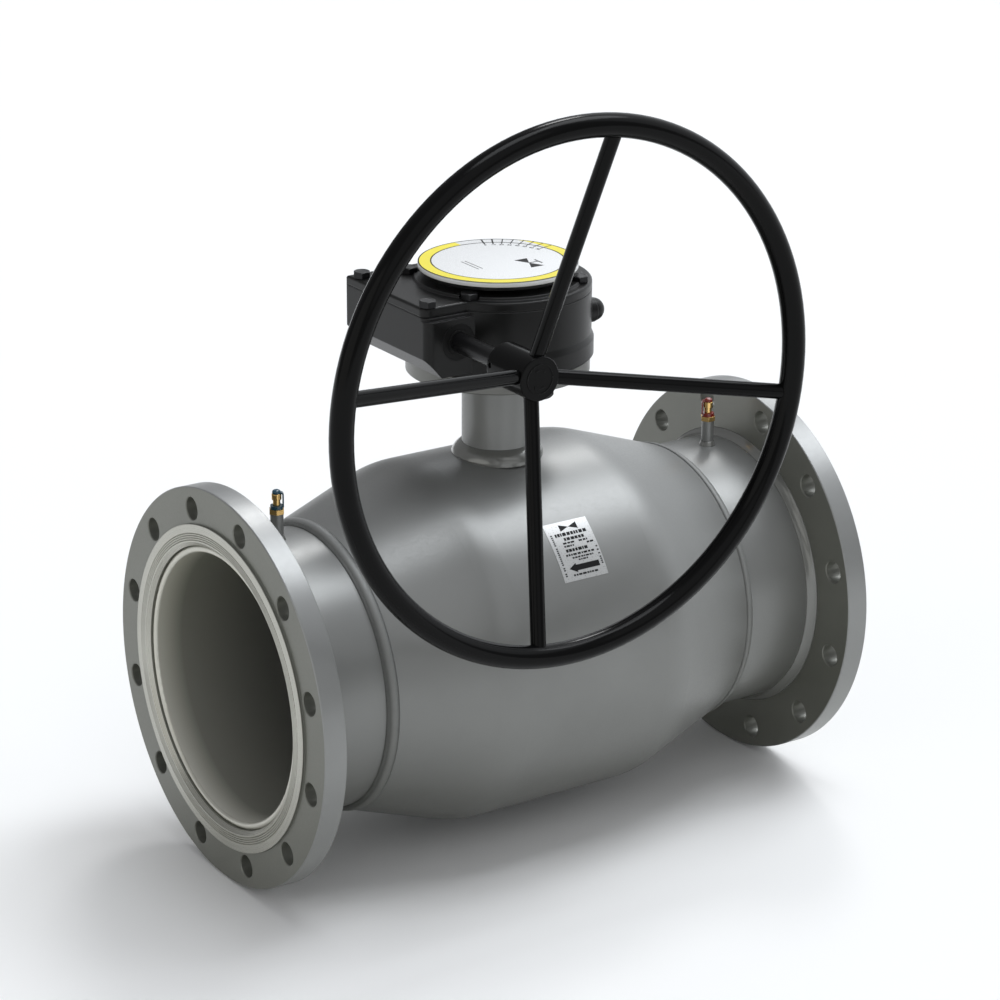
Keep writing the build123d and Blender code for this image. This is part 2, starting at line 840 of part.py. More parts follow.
# Cover with a round plateau under the dial and a rounded upper rim
with BuildPart() as cover:
    with BuildSketch(Plane.XY.offset(cover_bottom)):
        gearbox_outline(cover_inset)
    extrude(amount=cover_thickness)
    fillet(cover.edges().group_by(Axis.Z)[-1], cover_edge)
    with BuildSketch(Plane.XY.offset(cover_top)):
        Circle(plateau_radius)
    extrude(amount=plateau_height, taper=plateau_draft)
    with BuildSketch(Plane.XY.offset(cover_bottom)):
        Circle(carrier_neck_radius + running_clearance)
        with Locations(*cover_bolt_places()):
            Circle(cover_bolt_diameter / 2 + contact_gap)
    extrude(amount=plateau_top - cover_bottom, mode=Mode.SUBTRACT)
    with BuildSketch(Plane.XY.offset(cover_top)):
        with Locations(*cover_bolt_places()):
            Circle(cover_bolt_diameter)
    extrude(amount=plateau_height, mode=Mode.SUBTRACT)
write(cover.part, "gearbox_cover")


# Hex screws that hold the cover down
with BuildPart() as cover_bolts:
    with BuildSketch(Plane.XY.offset(cover_top)):
        with Locations(*cover_bolt_places()):
            RegularPolygon(cover_bolt_flats / 2, 6, major_radius=False)
    extrude(amount=cover_bolt_diameter * head_height_ratio)
    with BuildSketch(Plane.XY.offset(cover_top)):
        with Locations(*cover_bolt_places()):
            Circle(cover_bolt_diameter / 2)
    extrude(amount=-(cover_thickness + gasket_thickness + cover_bolt_depth - bolt_end_gap))
write(cover_bolts.part, "cover_bolts")

# Bolts that come up through the mounting flange into the bosses of the housing
with BuildPart() as mount_bolts:
    bolt_places = PolarLocations(mount_bolt_ring, 4)
    with BuildSketch(Plane.XY.offset(mount_bottom)):
        with bolt_places:
            Circle(mount_bolt_diameter / 2)
    extrude(amount=mount_thickness + bolt_depth - bolt_end_gap)
    with BuildSketch(Plane.XY.offset(mount_bottom)):
        with bolt_places:
            RegularPolygon(mount_bolt_flats / 2, 6, major_radius=False)
    extrude(amount=-mount_bolt_diameter * head_height_ratio)
write(mount_bolts.part, "mounting_bolts")

# Worm wheel: a hub on the stem and a quadrant whose slanted teeth match the worm's lead
flank_tangent = tan(radians(pressure_angle))
half_tooth = (axial_pitch / 2 - gear_backlash) / 2
lead_angle = atan2(axial_pitch, pi * worm_pitch_diameter)
tooth_lean = degrees(tan(lead_angle) * wheel_face / 2 / wheel_pitch_radius)


def wheel_tooth(middle_angle, height):
    # One tooth's outline at this height, narrow at the tip, turned to its place
    half_tip = half_tooth - gear_module * flank_tangent
    half_root = half_tooth + tooth_root_depth * flank_tangent
    with BuildSketch(Plane.XY.offset(height).rotated((0, 0, middle_angle)), mode=Mode.PRIVATE) as outline:
        Polygon(
            (root_radius - 2, half_root),
            (root_radius, half_root),
            (wheel_pitch_radius, half_tooth),
            (tip_radius, half_tip),
            (tip_radius, -half_tip),
            (wheel_pitch_radius, -half_tooth),
            (root_radius, -half_root),
            (root_radius - 2, -half_root),
            align=None,
        )
    return outline


def quadrant(inner, outer, thickness):
    # A sector of a ring, centred on the height of the worm
    with BuildSketch(Plane.XY.offset(worm_height - thickness / 2)) as sector:
        with BuildLine():
            start = quadrant_middle - quadrant_half_angle
            CenterArc((0, 0), outer, start, 2 * quadrant_half_angle)
            CenterArc((0, 0), inner, start, 2 * quadrant_half_angle)
            for angle in (start, start + 2 * quadrant_half_angle):
                direction = (cos(radians(angle)), sin(radians(angle)))
                Line(
                    (inner * direction[0], inner * direction[1]),
                    (outer * direction[0], outer * direction[1]),
                )
        make_face()
    extrude(sector.sketch, amount=thickness)


with BuildPart() as worm_wheel:
    with BuildSketch(Plane.XY.offset(mount_top + hub_end_gap)):
        Circle(wheel_hub_radius)
    extrude(amount=cover_bottom - mount_top - 2 * hub_end_gap)
    quadrant(wheel_hub_radius / 2, root_radius, web_thickness)
    quadrant(root_radius - 2 * gear_module, root_radius, wheel_face)
    for tooth in range(cut_teeth):
        tooth_angle = 180 + (tooth - 0.5) * tooth_pitch_angle
        lower = wheel_tooth(tooth_angle + tooth_lean, worm_height - wheel_face / 2)
        upper = wheel_tooth(tooth_angle - tooth_lean, worm_height + wheel_face / 2)
        loft(sections=[lower.sketch, upper.sketch], ruled=True)
    with BuildSketch(Plane.XY.offset(mount_top)):
        Circle(stem_radius + running_clearance)
        with PolarLocations(stem_radius, 2):
            Rectangle(key_height, key_width)
    extrude(amount=cover_top - mount_top, mode=Mode.SUBTRACT)
write(worm_wheel.part, "worm_wheel")

# Keys between the stem and the wheel
with BuildPart() as keys:
    with BuildSketch(Plane.XY.offset(key_bottom)):
        with PolarLocations(stem_radius, 2):
            Rectangle(key_height, key_width)
    extrude(amount=key_length)
write(keys.part, "stem_keys")

# Worm shaft: a left-hand thread on a long shaft, with a thrust collar beside each bearing
shaft_front = wheel_hub_front + shaft_end_wall
bearing_front = chamber_front + seal_length
front_collar = bearing_front + bearing_length + contact_gap
rear_collar = chamber_rear - end_cap_spigot - contact_gap - bearing_length
shaft_rear = chamber_rear - end_cap_spigot - 1
thread_length = 2 * turns_before_mesh * axial_pitch
thread_half_root = half_tooth + (tooth_root_depth + 1) * flank_tangent
thread_half_tip = half_tooth - gear_module * flank_tangent
with BuildPart() as worm_shaft:
    with BuildSketch(Plane.XZ.offset(-shaft_rear)):
        with Locations(wheel_centre):
            Circle(shaft_radius)
    extrude(amount=shaft_rear - shaft_front)
    for near_end in (front_collar + thrust_collar_length, rear_collar - contact_gap):
        with BuildSketch(Plane.XZ.offset(-near_end)):
            with Locations(wheel_centre):
                Circle(shaft_radius + thrust_collar_height)
        extrude(amount=thrust_collar_length)
    thread_start = (worm_x, -thread_length / 2, worm_height)
    with BuildLine():
        spiral = Helix(
            axial_pitch,
            thread_length,
            worm_pitch_radius,
            center=thread_start,
            direction=(0, 1, 0),
            lefthand=True,
        )
    with BuildSketch(Plane(spiral @ 0, x_dir=(0, 0, 1), z_dir=spiral % 0)):
        Polygon(
            (-tooth_root_depth - 1, thread_half_root),
            (gear_module, thread_half_tip),
            (gear_module, -thread_half_tip),
            (-tooth_root_depth - 1, -thread_half_root),
            align=None,
        )
    sweep(path=spiral, is_frenet=True)
    with BuildSketch(Plane((worm_x, hub_rear - pin_from_rear, worm_height), z_dir=pin_direction)):
        Circle(pin_diameter / 2)
    extrude(amount=shaft_radius, both=True, mode=Mode.SUBTRACT)
write(worm_shaft.part, "worm_shaft")

# Two plain bearings, one at each end of the worm
with BuildPart() as worm_bearings:
    for bearing_face in (bearing_front + bearing_length, rear_collar + bearing_length + contact_gap):
        with BuildSketch(Plane.XZ.offset(-bearing_face)):
            with Locations(wheel_centre):
                Circle(worm_bore_radius)
                Circle(shaft_radius + running_clearance, mode=Mode.SUBTRACT)
        extrude(amount=bearing_length)
write(worm_bearings.part, "worm_bearings")

# Shaft seal in the mouth of the worm bore, with a raised lip round the shaft
with BuildPart() as shaft_seal:
    with BuildSketch(Plane.XZ.offset(-bearing_front)):
        with Locations(wheel_centre):
            Circle(worm_bore_radius)
            Circle(shaft_radius + running_clearance, mode=Mode.SUBTRACT)
    extrude(amount=seal_length)
    with BuildSketch(Plane.XZ.offset(-chamber_front)):
        with Locations(wheel_centre):
            Circle(shaft_radius + seal_lip_width)
            Circle(shaft_radius + running_clearance, mode=Mode.SUBTRACT)
    extrude(amount=seal_lip_height)
write(shaft_seal.part, "shaft_seal")

# Rear end cap: a round plate with a spigot that holds the rear bearing in
with BuildPart() as end_cap:
    with BuildSketch(Plane.XZ.offset(-chamber_rear)):
        with Locations(wheel_centre):
            Circle(worm_bore_radius)
    extrude(amount=end_cap_spigot)
    with BuildSketch(Plane.XZ.offset(-chamber_rear)):
        with Locations(wheel_centre):
            Circle(end_cap_radius)
    extrude(amount=-end_cap_thickness)
    chamfer(end_cap.edges().group_by(Axis.Y)[-1], end_cap_edge)
    with BuildSketch(Plane.XZ.offset(-chamber_rear)):
        with Locations(wheel_centre):
            with PolarLocations(end_cap_bolt_ring, 4, 45):
                Circle(end_cap_bolt_diameter / 2)
    extrude(amount=-end_cap_thickness, mode=Mode.SUBTRACT)
write(end_cap.part, "worm_end_cap")

# Hex screws that hold the end cap
with BuildPart() as end_cap_screws:
    cap_face = chamber_rear + end_cap_thickness
    with BuildSketch(Plane.XZ.offset(-cap_face)):
        with Locations(wheel_centre):
            with PolarLocations(end_cap_bolt_ring, 4, 45):
                Circle(end_cap_bolt_diameter / 2)
    extrude(amount=end_cap_thickness + end_cap_bolt_depth - bolt_end_gap)
    with BuildSketch(Plane.XZ.offset(-cap_face)):
        with Locations(wheel_centre):
            with PolarLocations(end_cap_bolt_ring, 4, 45):
                RegularPolygon(end_cap_bolt_flats / 2, 6, major_radius=False)
    extrude(amount=-end_cap_bolt_diameter * head_height_ratio)
write(end_cap_screws.part, "end_cap_screws")

# Stop screws: each has a round tip that meets a flank of the quadrant at the end of travel
flank_angle = radians(quadrant_middle + quadrant_half_angle)
flank_gap = stop_diameter / 2 + contact_gap
tip_x = (flank_gap + stop_offset * cos(flank_angle)) / -sin(flank_angle)
screw_end = stop_face + stop_nut_height + stop_screw_spare
with BuildPart() as stop_screws:
    with BuildSketch(Plane.YZ.offset(tip_x)):
        with Locations(*stop_places):
            Circle(stop_diameter / 2)
    extrude(amount=screw_end - tip_x)
    with Locations(*[(tip_x, y, z) for y, z in stop_places]):
        Sphere(stop_diameter / 2)
write(stop_screws.part, "stop_screws")

# Lock nuts on the stop screws
with BuildPart() as stop_nuts:
    with BuildSketch(Plane.YZ.offset(stop_face)):
        with Locations(*stop_places):
            RegularPolygon(stop_nut_flats / 2, 6, major_radius=False)
            Circle(stop_diameter / 2, mode=Mode.SUBTRACT)
    extrude(amount=stop_nut_height)
write(stop_nuts.part, "stop_nuts")

# Domed caps over the nuts and the ends of the stop screws
dome_radius = stop_cap_radius
dome_start = stop_face + stop_nut_height - stop_cap_drop
with BuildPart() as stop_cap:
    with BuildSketch(Plane.XY):
        with BuildLine():
            inner_radius = dome_radius - stop_cap_wall
            Polyline((dome_start, inner_radius), (stop_face, inner_radius), (stop_face, dome_radius))
            Line((stop_face, dome_radius), (dome_start, dome_radius))
            RadiusArc((dome_start, dome_radius), (dome_start + dome_radius, 0), dome_radius)
            Line((dome_start + dome_radius, 0), (dome_start + inner_radius, 0))
            RadiusArc((dome_start, inner_radius), (dome_start + inner_radius, 0), inner_radius)
        make_face()
    revolve(axis=Axis.X)
with BuildPart() as stop_caps:
    with Locations(*[(0, y, z) for y, z in stop_places]):
        add(stop_cap.part)
write(stop_caps.part, "stop_caps")

# Dial carrier: a round plate whose neck turns in the cover and sits on the wheel hub
with BuildPart() as dial_carrier:
    with BuildSketch(Plane.XY.offset(cover_bottom)):
        Circle(carrier_neck_radius)
    extrude(amount=carrier_bottom - cover_bottom)
    with BuildSketch(Plane.XY.offset(carrier_bottom)):
        Circle(carrier_radius)
    extrude(amount=carrier_thickness)
write(dial_carrier.part, "dial_carrier")

# Dial disc, rounded at its upper rim
with BuildPart() as dial_disc:
    with BuildSketch(Plane.XY.offset(dial_bottom)):
        Circle(dial_diameter / 2)
    extrude(amount=dial_thickness)
    fillet(dial_disc.edges().group_by(Axis.Z)[-1], dial_edge)
write(dial_disc.part, "dial_disc")

# Handwheel rim: a round tube
wheel_axis = Axis((worm_x, 0, worm_height), (0, 1, 0))
with BuildPart() as rim:
    with BuildSketch(Plane.XY.offset(worm_height)):
        with Locations((worm_x + rim_radius, rim_plane)):
            Circle(rim_diameter / 2)
    revolve(axis=wheel_axis)
write(rim.part, "handwheel_rim")

# Cross pin through the hub and the shaft, in line with two of the spokes
pin_centre = (worm_x, hub_rear - pin_from_rear, worm_height)
pin_plane = Plane(pin_centre, z_dir=pin_direction)
pin_length = 2 * (hub_radius - pin_recess)
with BuildPart() as hub_pin:
    with BuildSketch(pin_plane.offset(-pin_length / 2)):
        Circle(pin_diameter / 2)
    extrude(amount=pin_length)
    chamfer(hub_pin.edges().filter_by(GeomType.CIRCLE), pin_edge)
write(hub_pin.part, "hub_pin")

# Handwheel hub: a blind bore for the shaft, a rounded rear shoulder and the pin's hole
with BuildPart() as hub:
    with BuildSketch(Plane.XZ.offset(-hub_rear)):
        with Locations(wheel_centre):
            Circle(hub_radius)
    extrude(amount=wheel_hub_length)
    fillet(hub.edges().group_by(Axis.Y)[-1], hub_shoulder)
    fillet(hub.edges().group_by(Axis.Y)[0], hub_front_edge)
    with BuildSketch(Plane.XZ.offset(-hub_rear)):
        with Locations(wheel_centre):
            Circle(shaft_radius)
    extrude(amount=wheel_hub_length - shaft_end_wall, mode=Mode.SUBTRACT)
    with BuildSketch(pin_plane):
        Circle(pin_diameter / 2)
    extrude(amount=hub_radius, both=True, mode=Mode.SUBTRACT)
write(hub.part, "handwheel_hub")

# Spokes: round rods that lean forward from the hub and end in the rim
with BuildPart() as spokes:
    for spoke in range(spoke_count):
        angle = radians(spoke_turn + 360 / spoke_count * spoke)
        root_reach = (shaft_radius + hub_radius) / 2
        root = Vector(worm_x + root_reach * cos(angle), spoke_root, worm_height + root_reach * sin(angle))
        tip = Vector(worm_x + rim_radius * cos(angle), rim_plane, worm_height + rim_radius * sin(angle))
        with BuildSketch(Plane(root, z_dir=tip - root)):
            Circle(spoke_diameter / 2)
        extrude(amount=(tip - root).length)
    add(hub.part, mode=Mode.SUBTRACT)
    add(rim.part, mode=Mode.SUBTRACT)
write(spokes.part, "handwheel_spokes")

# Test nipples: the outside of the pipes trims what stands on them
with BuildPart() as pipe_outside:
    with BuildSketch(Plane.YZ.offset(-face_to_face / 2)):
        Circle(pipe_radius)
    extrude(amount=face_to_face)

union_top = nipple_top + union_height
ring_top = union_top + strap_ring_height
cap_bottom = ring_top + contact_gap
cap_top = cap_bottom + cap_height
spigot_top = cap_top - cap_lid - nipple_spigot_gap
lid_bottom = cap_top + contact_gap
for end, nipple_x, strap_angle in (
    ("inlet", inlet_nipple_x, inlet_strap_angle),
    ("outlet", outlet_nipple_x, outlet_strap_angle),
):
    # Steel stub
    with BuildPart() as nipple:
        with BuildSketch(Plane.XY.offset(pipe_radius - pipe_wall)):
            with Locations((nipple_x, 0)):
                Circle(nipple_diameter / 2)
                Circle(nipple_bore / 2, mode=Mode.SUBTRACT)
        extrude(amount=nipple_top - pipe_radius + pipe_wall)
        add(pipe_outside.part, mode=Mode.SUBTRACT)
    write(nipple.part, f"{end}_nipple")

    # Weld round the foot of the stub
    with BuildPart() as nipple_weld:
        with BuildSketch(Plane.XZ):
            with BuildLine():
                foot = nipple_x + nipple_diameter / 2
                Polyline(
                    (foot, pipe_radius + nipple_weld_height),
                    (foot, pipe_radius - 1),
                    (foot + nipple_weld_leg, pipe_radius - 1),
                    (foot + nipple_weld_leg, pipe_radius),
                    close=True,
                )
            make_face()
        revolve(axis=Axis((nipple_x, 0, 0), (0, 0, 1)))
        add(pipe_outside.part, mode=Mode.SUBTRACT)
    write(nipple_weld.part, f"{end}_nipple_weld")

    # Brass union: a hexagon with a threaded spigot
    with BuildPart() as union:
        with BuildSketch(Plane.XY.offset(nipple_top)):
            with Locations((nipple_x, 0)):
                RegularPolygon(union_across_flats / 2, 6, major_radius=False)
        extrude(amount=union_height)
        with BuildSketch(Plane.XY.offset(union_top)):
            with Locations((nipple_x, 0)):
                Circle(nipple_spigot)
        extrude(amount=spigot_top - union_top)
        with BuildSketch(Plane.XY.offset(nipple_top)):
            with Locations((nipple_x, 0)):
                Circle(union_bore / 2)
        extrude(amount=spigot_top - nipple_top, mode=Mode.SUBTRACT)
    write(union.part, f"{end}_union")

    # Brass cap: a waisted cup that turns on the spigot
    with BuildPart() as cap:
        with BuildSketch(Plane.XY.offset(cap_bottom)):
            with Locations((nipple_x, 0)):
                Circle(cap_radius - cap_waist)
        extrude(amount=cap_height / 2)
        with BuildSketch(Plane.XY.offset(cap_bottom + cap_height / 2)):
            with Locations((nipple_x, 0)):
                Circle(cap_radius)
        extrude(amount=cap_height / 2)
        chamfer(cap.edges().group_by(Axis.Z)[-1], cap_edge)
        with BuildSketch(Plane.XY.offset(cap_bottom)):
            with Locations((nipple_x, 0)):
                Circle(nipple_spigot + running_clearance)
        extrude(amount=cap_height - cap_lid, mode=Mode.SUBTRACT)
    write(cap.part, f"{end}_cap")

    # Plastic strap: a ring on the union, a domed lid on the cap, and a bent band that joins them
    strap_sin, strap_cos = sin(radians(strap_angle)), cos(radians(strap_angle))
    strap_plane = Plane((nipple_x, 0, 0), x_dir=(strap_cos, strap_sin, 0), z_dir=(strap_sin, -strap_cos, 0))
    with BuildPart() as strap:
        with BuildSketch(Plane.XY.offset(union_top)):
            with Locations((nipple_x, 0)):
                Circle(strap_ring_radius)
                Circle(nipple_spigot + running_clearance, mode=Mode.SUBTRACT)
        extrude(amount=strap_ring_height)
        with BuildSketch(Plane.XY.offset(lid_bottom)):
            with Locations((nipple_x, 0)):
                Circle(strap_lid_radius)
        extrude(amount=strap_thickness)
        fillet(strap.edges().group_by(Axis.Z)[-1], strap_lid_rounding)
        with BuildSketch(strap_plane):
            with BuildLine():
                FilletPolyline(
                    (strap_lid_radius - strap_lid_rounding, lid_bottom + strap_band_thickness / 2),
                    (strap_reach, lid_bottom + strap_band_thickness / 2),
                    (strap_reach, ring_top - strap_ring_height / 2),
                    radius=strap_bend,
                )
            trace(line_width=strap_band_thickness)
        extrude(amount=strap_width / 2, both=True)
    write(strap.part, f"{end}_strap")
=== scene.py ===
# Welded ball valve with a worm gearbox and a handwheel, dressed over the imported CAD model
import math
import random

import bmesh
import bpy
from mathutils import Matrix, Vector


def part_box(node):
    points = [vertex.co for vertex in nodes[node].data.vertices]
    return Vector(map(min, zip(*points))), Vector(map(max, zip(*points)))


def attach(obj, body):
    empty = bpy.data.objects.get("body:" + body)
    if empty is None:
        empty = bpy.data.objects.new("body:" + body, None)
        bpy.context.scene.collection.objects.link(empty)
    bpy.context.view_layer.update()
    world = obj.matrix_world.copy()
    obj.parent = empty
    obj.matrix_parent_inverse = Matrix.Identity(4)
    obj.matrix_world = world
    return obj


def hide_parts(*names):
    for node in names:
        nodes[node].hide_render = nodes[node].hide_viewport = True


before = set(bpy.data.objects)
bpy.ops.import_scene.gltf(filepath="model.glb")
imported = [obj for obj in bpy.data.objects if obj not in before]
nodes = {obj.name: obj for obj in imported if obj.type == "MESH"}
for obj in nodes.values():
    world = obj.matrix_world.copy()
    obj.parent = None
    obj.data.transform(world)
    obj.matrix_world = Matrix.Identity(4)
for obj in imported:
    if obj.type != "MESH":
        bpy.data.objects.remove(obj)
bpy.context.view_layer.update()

print("valve: frame loaded")
mm = 0.001


# nodes that the materials share
def newMaterial(name):
    mat = bpy.data.materials.new(name)
    mat.use_nodes = True
    tree = mat.node_tree
    tree.nodes.clear()
    out = tree.nodes.new("ShaderNodeOutputMaterial")
    shader = tree.nodes.new("ShaderNodeBsdfPrincipled")
    tree.links.new(shader.outputs["BSDF"], out.inputs["Surface"])
    return mat, tree, shader


def noiseNode(tree, scale, detail=3.0, rough=0.5):
    coord = tree.nodes.new("ShaderNodeTexCoord")
    noise = tree.nodes.new("ShaderNodeTexNoise")
    noise.inputs["Scale"].default_value = scale
    noise.inputs["Detail"].default_value = detail
    noise.inputs["Roughness"].default_value = rough
    tree.links.new(coord.outputs["Object"], noise.inputs["Vector"])
    return noise.outputs["Fac"]


def axisDistance(tree, across):
    # distance from an axis through the origin; across is 1 in the directions that count
    coord = tree.nodes.new("ShaderNodeTexCoord")
    flat = tree.nodes.new("ShaderNodeVectorMath")
    flat.operation = "MULTIPLY"
    flat.inputs[1].default_value = across
    length = tree.nodes.new("ShaderNodeVectorMath")
    length.operation = "LENGTH"
    tree.links.new(coord.outputs["Object"], flat.inputs[0])
    tree.links.new(flat.outputs["Vector"], length.inputs[0])
    return length.outputs["Value"]


def ringNoise(tree, across, scale):
    # noise that changes only with the distance from the axis, as tool marks do
    noise = tree.nodes.new("ShaderNodeTexNoise")
    noise.noise_dimensions = "1D"
    noise.inputs["Scale"].default_value = scale
    noise.inputs["Detail"].default_value = 2.0
    tree.links.new(axisDistance(tree, across), noise.inputs["W"])
    return noise.outputs["Fac"]


def rangeNode(tree, source, low, high, start=0.0, stop=1.0):
    # low at start and high at stop
    spread = tree.nodes.new("ShaderNodeMapRange")
    spread.inputs["From Min"].default_value = start
    spread.inputs["From Max"].default_value = stop
    spread.inputs["To Min"].default_value = low
    spread.inputs["To Max"].default_value = high
    tree.links.new(source, spread.inputs["Value"])
    return spread.outputs["Result"]


def rampNode(tree, source, stops):
    ramp = tree.nodes.new("ShaderNodeValToRGB")
    elements = ramp.color_ramp.elements
    while len(elements) < len(stops):
        elements.new(0.5)
    for element, (position, colour) in zip(elements, stops):
        element.position = position
        element.color = (*colour, 1.0)
    tree.links.new(source, ramp.inputs["Fac"])
    return ramp.outputs["Color"]


def mixColours(tree, factor, first, second):
    # inputs 6 and 7 and output 2 are the colour sockets of a Mix node
    mix = tree.nodes.new("ShaderNodeMix")
    mix.data_type = "RGBA"
    tree.links.new(factor, mix.inputs["Factor"])
    tree.links.new(first, mix.inputs[6])
    if isinstance(second, tuple):
        mix.inputs[7].default_value = (*second, 1.0)
    else:
        tree.links.new(second, mix.inputs[7])
    return mix.outputs[2]


# what every finish shares; ranges are those of the noise, and of how far an edge's normal turns
surface = dict(glossSpread=0.18, grainRange=(0.25, 0.75), cloudRange=(0.32, 0.68), cloudDetail=4.0,
               cloudRough=0.55, roundSamples=4, wornAndSheenRange=(0.8, 0.98), relief=0.3, coatRough=0.12)


def wornAndSheenTone(tree, tone, rounded, wearAndSheen, wearAndSheenColour):
    # paler along the edges, where the rounded normal leaves the flat one: partly wear, partly a
    # painted highlight along the edges
    geometry = tree.nodes.new("ShaderNodeNewGeometry")
    facing = tree.nodes.new("ShaderNodeVectorMath")
    facing.operation = "DOT_PRODUCT"
    tree.links.new(geometry.outputs["Normal"], facing.inputs[0])
    tree.links.new(rounded.outputs["Normal"], facing.inputs[1])
    wornAndSheen = rangeNode(tree, facing.outputs["Value"], wearAndSheen, 0.0, *surface["wornAndSheenRange"])
    return mixColours(tree, wornAndSheen, tone, wearAndSheenColour)


def boreShadeTone(tree, tone, bore):
    # nearer the axis than the pipe's wall: bare metal, paler at the mouth, then painted shade that
    # grows darker deeper in the bore
    near, far = (bore["radius"] - bore["blend"]) * mm, (bore["radius"] + bore["blend"]) * mm
    inside = rangeNode(tree, axisDistance(tree, (0, 1, 1)), 1.0, 0.0, near, far)
    deep, mouth = bore["deep"] * mm, bore["mouth"] * mm
    along = rangeNode(tree, axisDistance(tree, (1, 0, 0)), 0.0, 1.0, deep, mouth)
    return mixColours(tree, inside, tone, rampNode(tree, along, bore["stops"])), inside


def finish(name, colour, rough, metal=0.0, gloss=0.5, grain=300.0, bump=0.06, vary=0.06, cloud=9.0,
           edge=0.8, wearAndSheen=0.0, wearAndSheenColour=(0.5, 0.5, 0.5), across=None, marks=900.0, coat=0.0,
           bore=None):
    # a slow cloud in the colour, grain in roughness and bump, rounded edges that are slightly worn
    # and carry a painted highlight
    s = surface
    mat, tree, shader = newMaterial(name)
    dark = tuple(c * (1 - vary) for c in colour)
    light = tuple(min(1.0, c * (1 + vary)) for c in colour)
    clouds = noiseNode(tree, cloud, s["cloudDetail"], s["cloudRough"])
    tone = rampNode(tree, clouds, list(zip(s["cloudRange"], (dark, light))))
    fine = ringNoise(tree, across, marks) if across else noiseNode(tree, grain)
    smooth, coarse = rough * (1 - s["glossSpread"]), min(1.0, rough * (1 + s["glossSpread"]))
    roughness = rangeNode(tree, fine, smooth, coarse, *s["grainRange"])
    tree.links.new(roughness, shader.inputs["Roughness"])
    rounded = tree.nodes.new("ShaderNodeBevel")
    rounded.samples = s["roundSamples"]
    rounded.inputs["Radius"].default_value = edge * mm
    if wearAndSheen:
        tone = wornAndSheenTone(tree, tone, rounded, wearAndSheen, wearAndSheenColour)
    if bore:
        tone, inside = boreShadeTone(tree, tone, bore)
        tree.links.new(rangeNode(tree, inside, metal, 0.0), shader.inputs["Metallic"])
    else:
        shader.inputs["Metallic"].default_value = metal
    tree.links.new(tone, shader.inputs["Base Color"])
    relief = tree.nodes.new("ShaderNodeBump")
    relief.inputs["Strength"].default_value = bump
    relief.inputs["Distance"].default_value = s["relief"] * mm
    tree.links.new(fine, relief.inputs["Height"])
    tree.links.new(rounded.outputs["Normal"], relief.inputs["Normal"])
    tree.links.new(relief.outputs["Normal"], shader.inputs["Normal"])
    shader.inputs["Specular IOR Level"].default_value = gloss
    shader.inputs["Coat Weight"].default_value = coat
    shader.inputs["Coat Roughness"].default_value = s["coatRough"]
    return mat
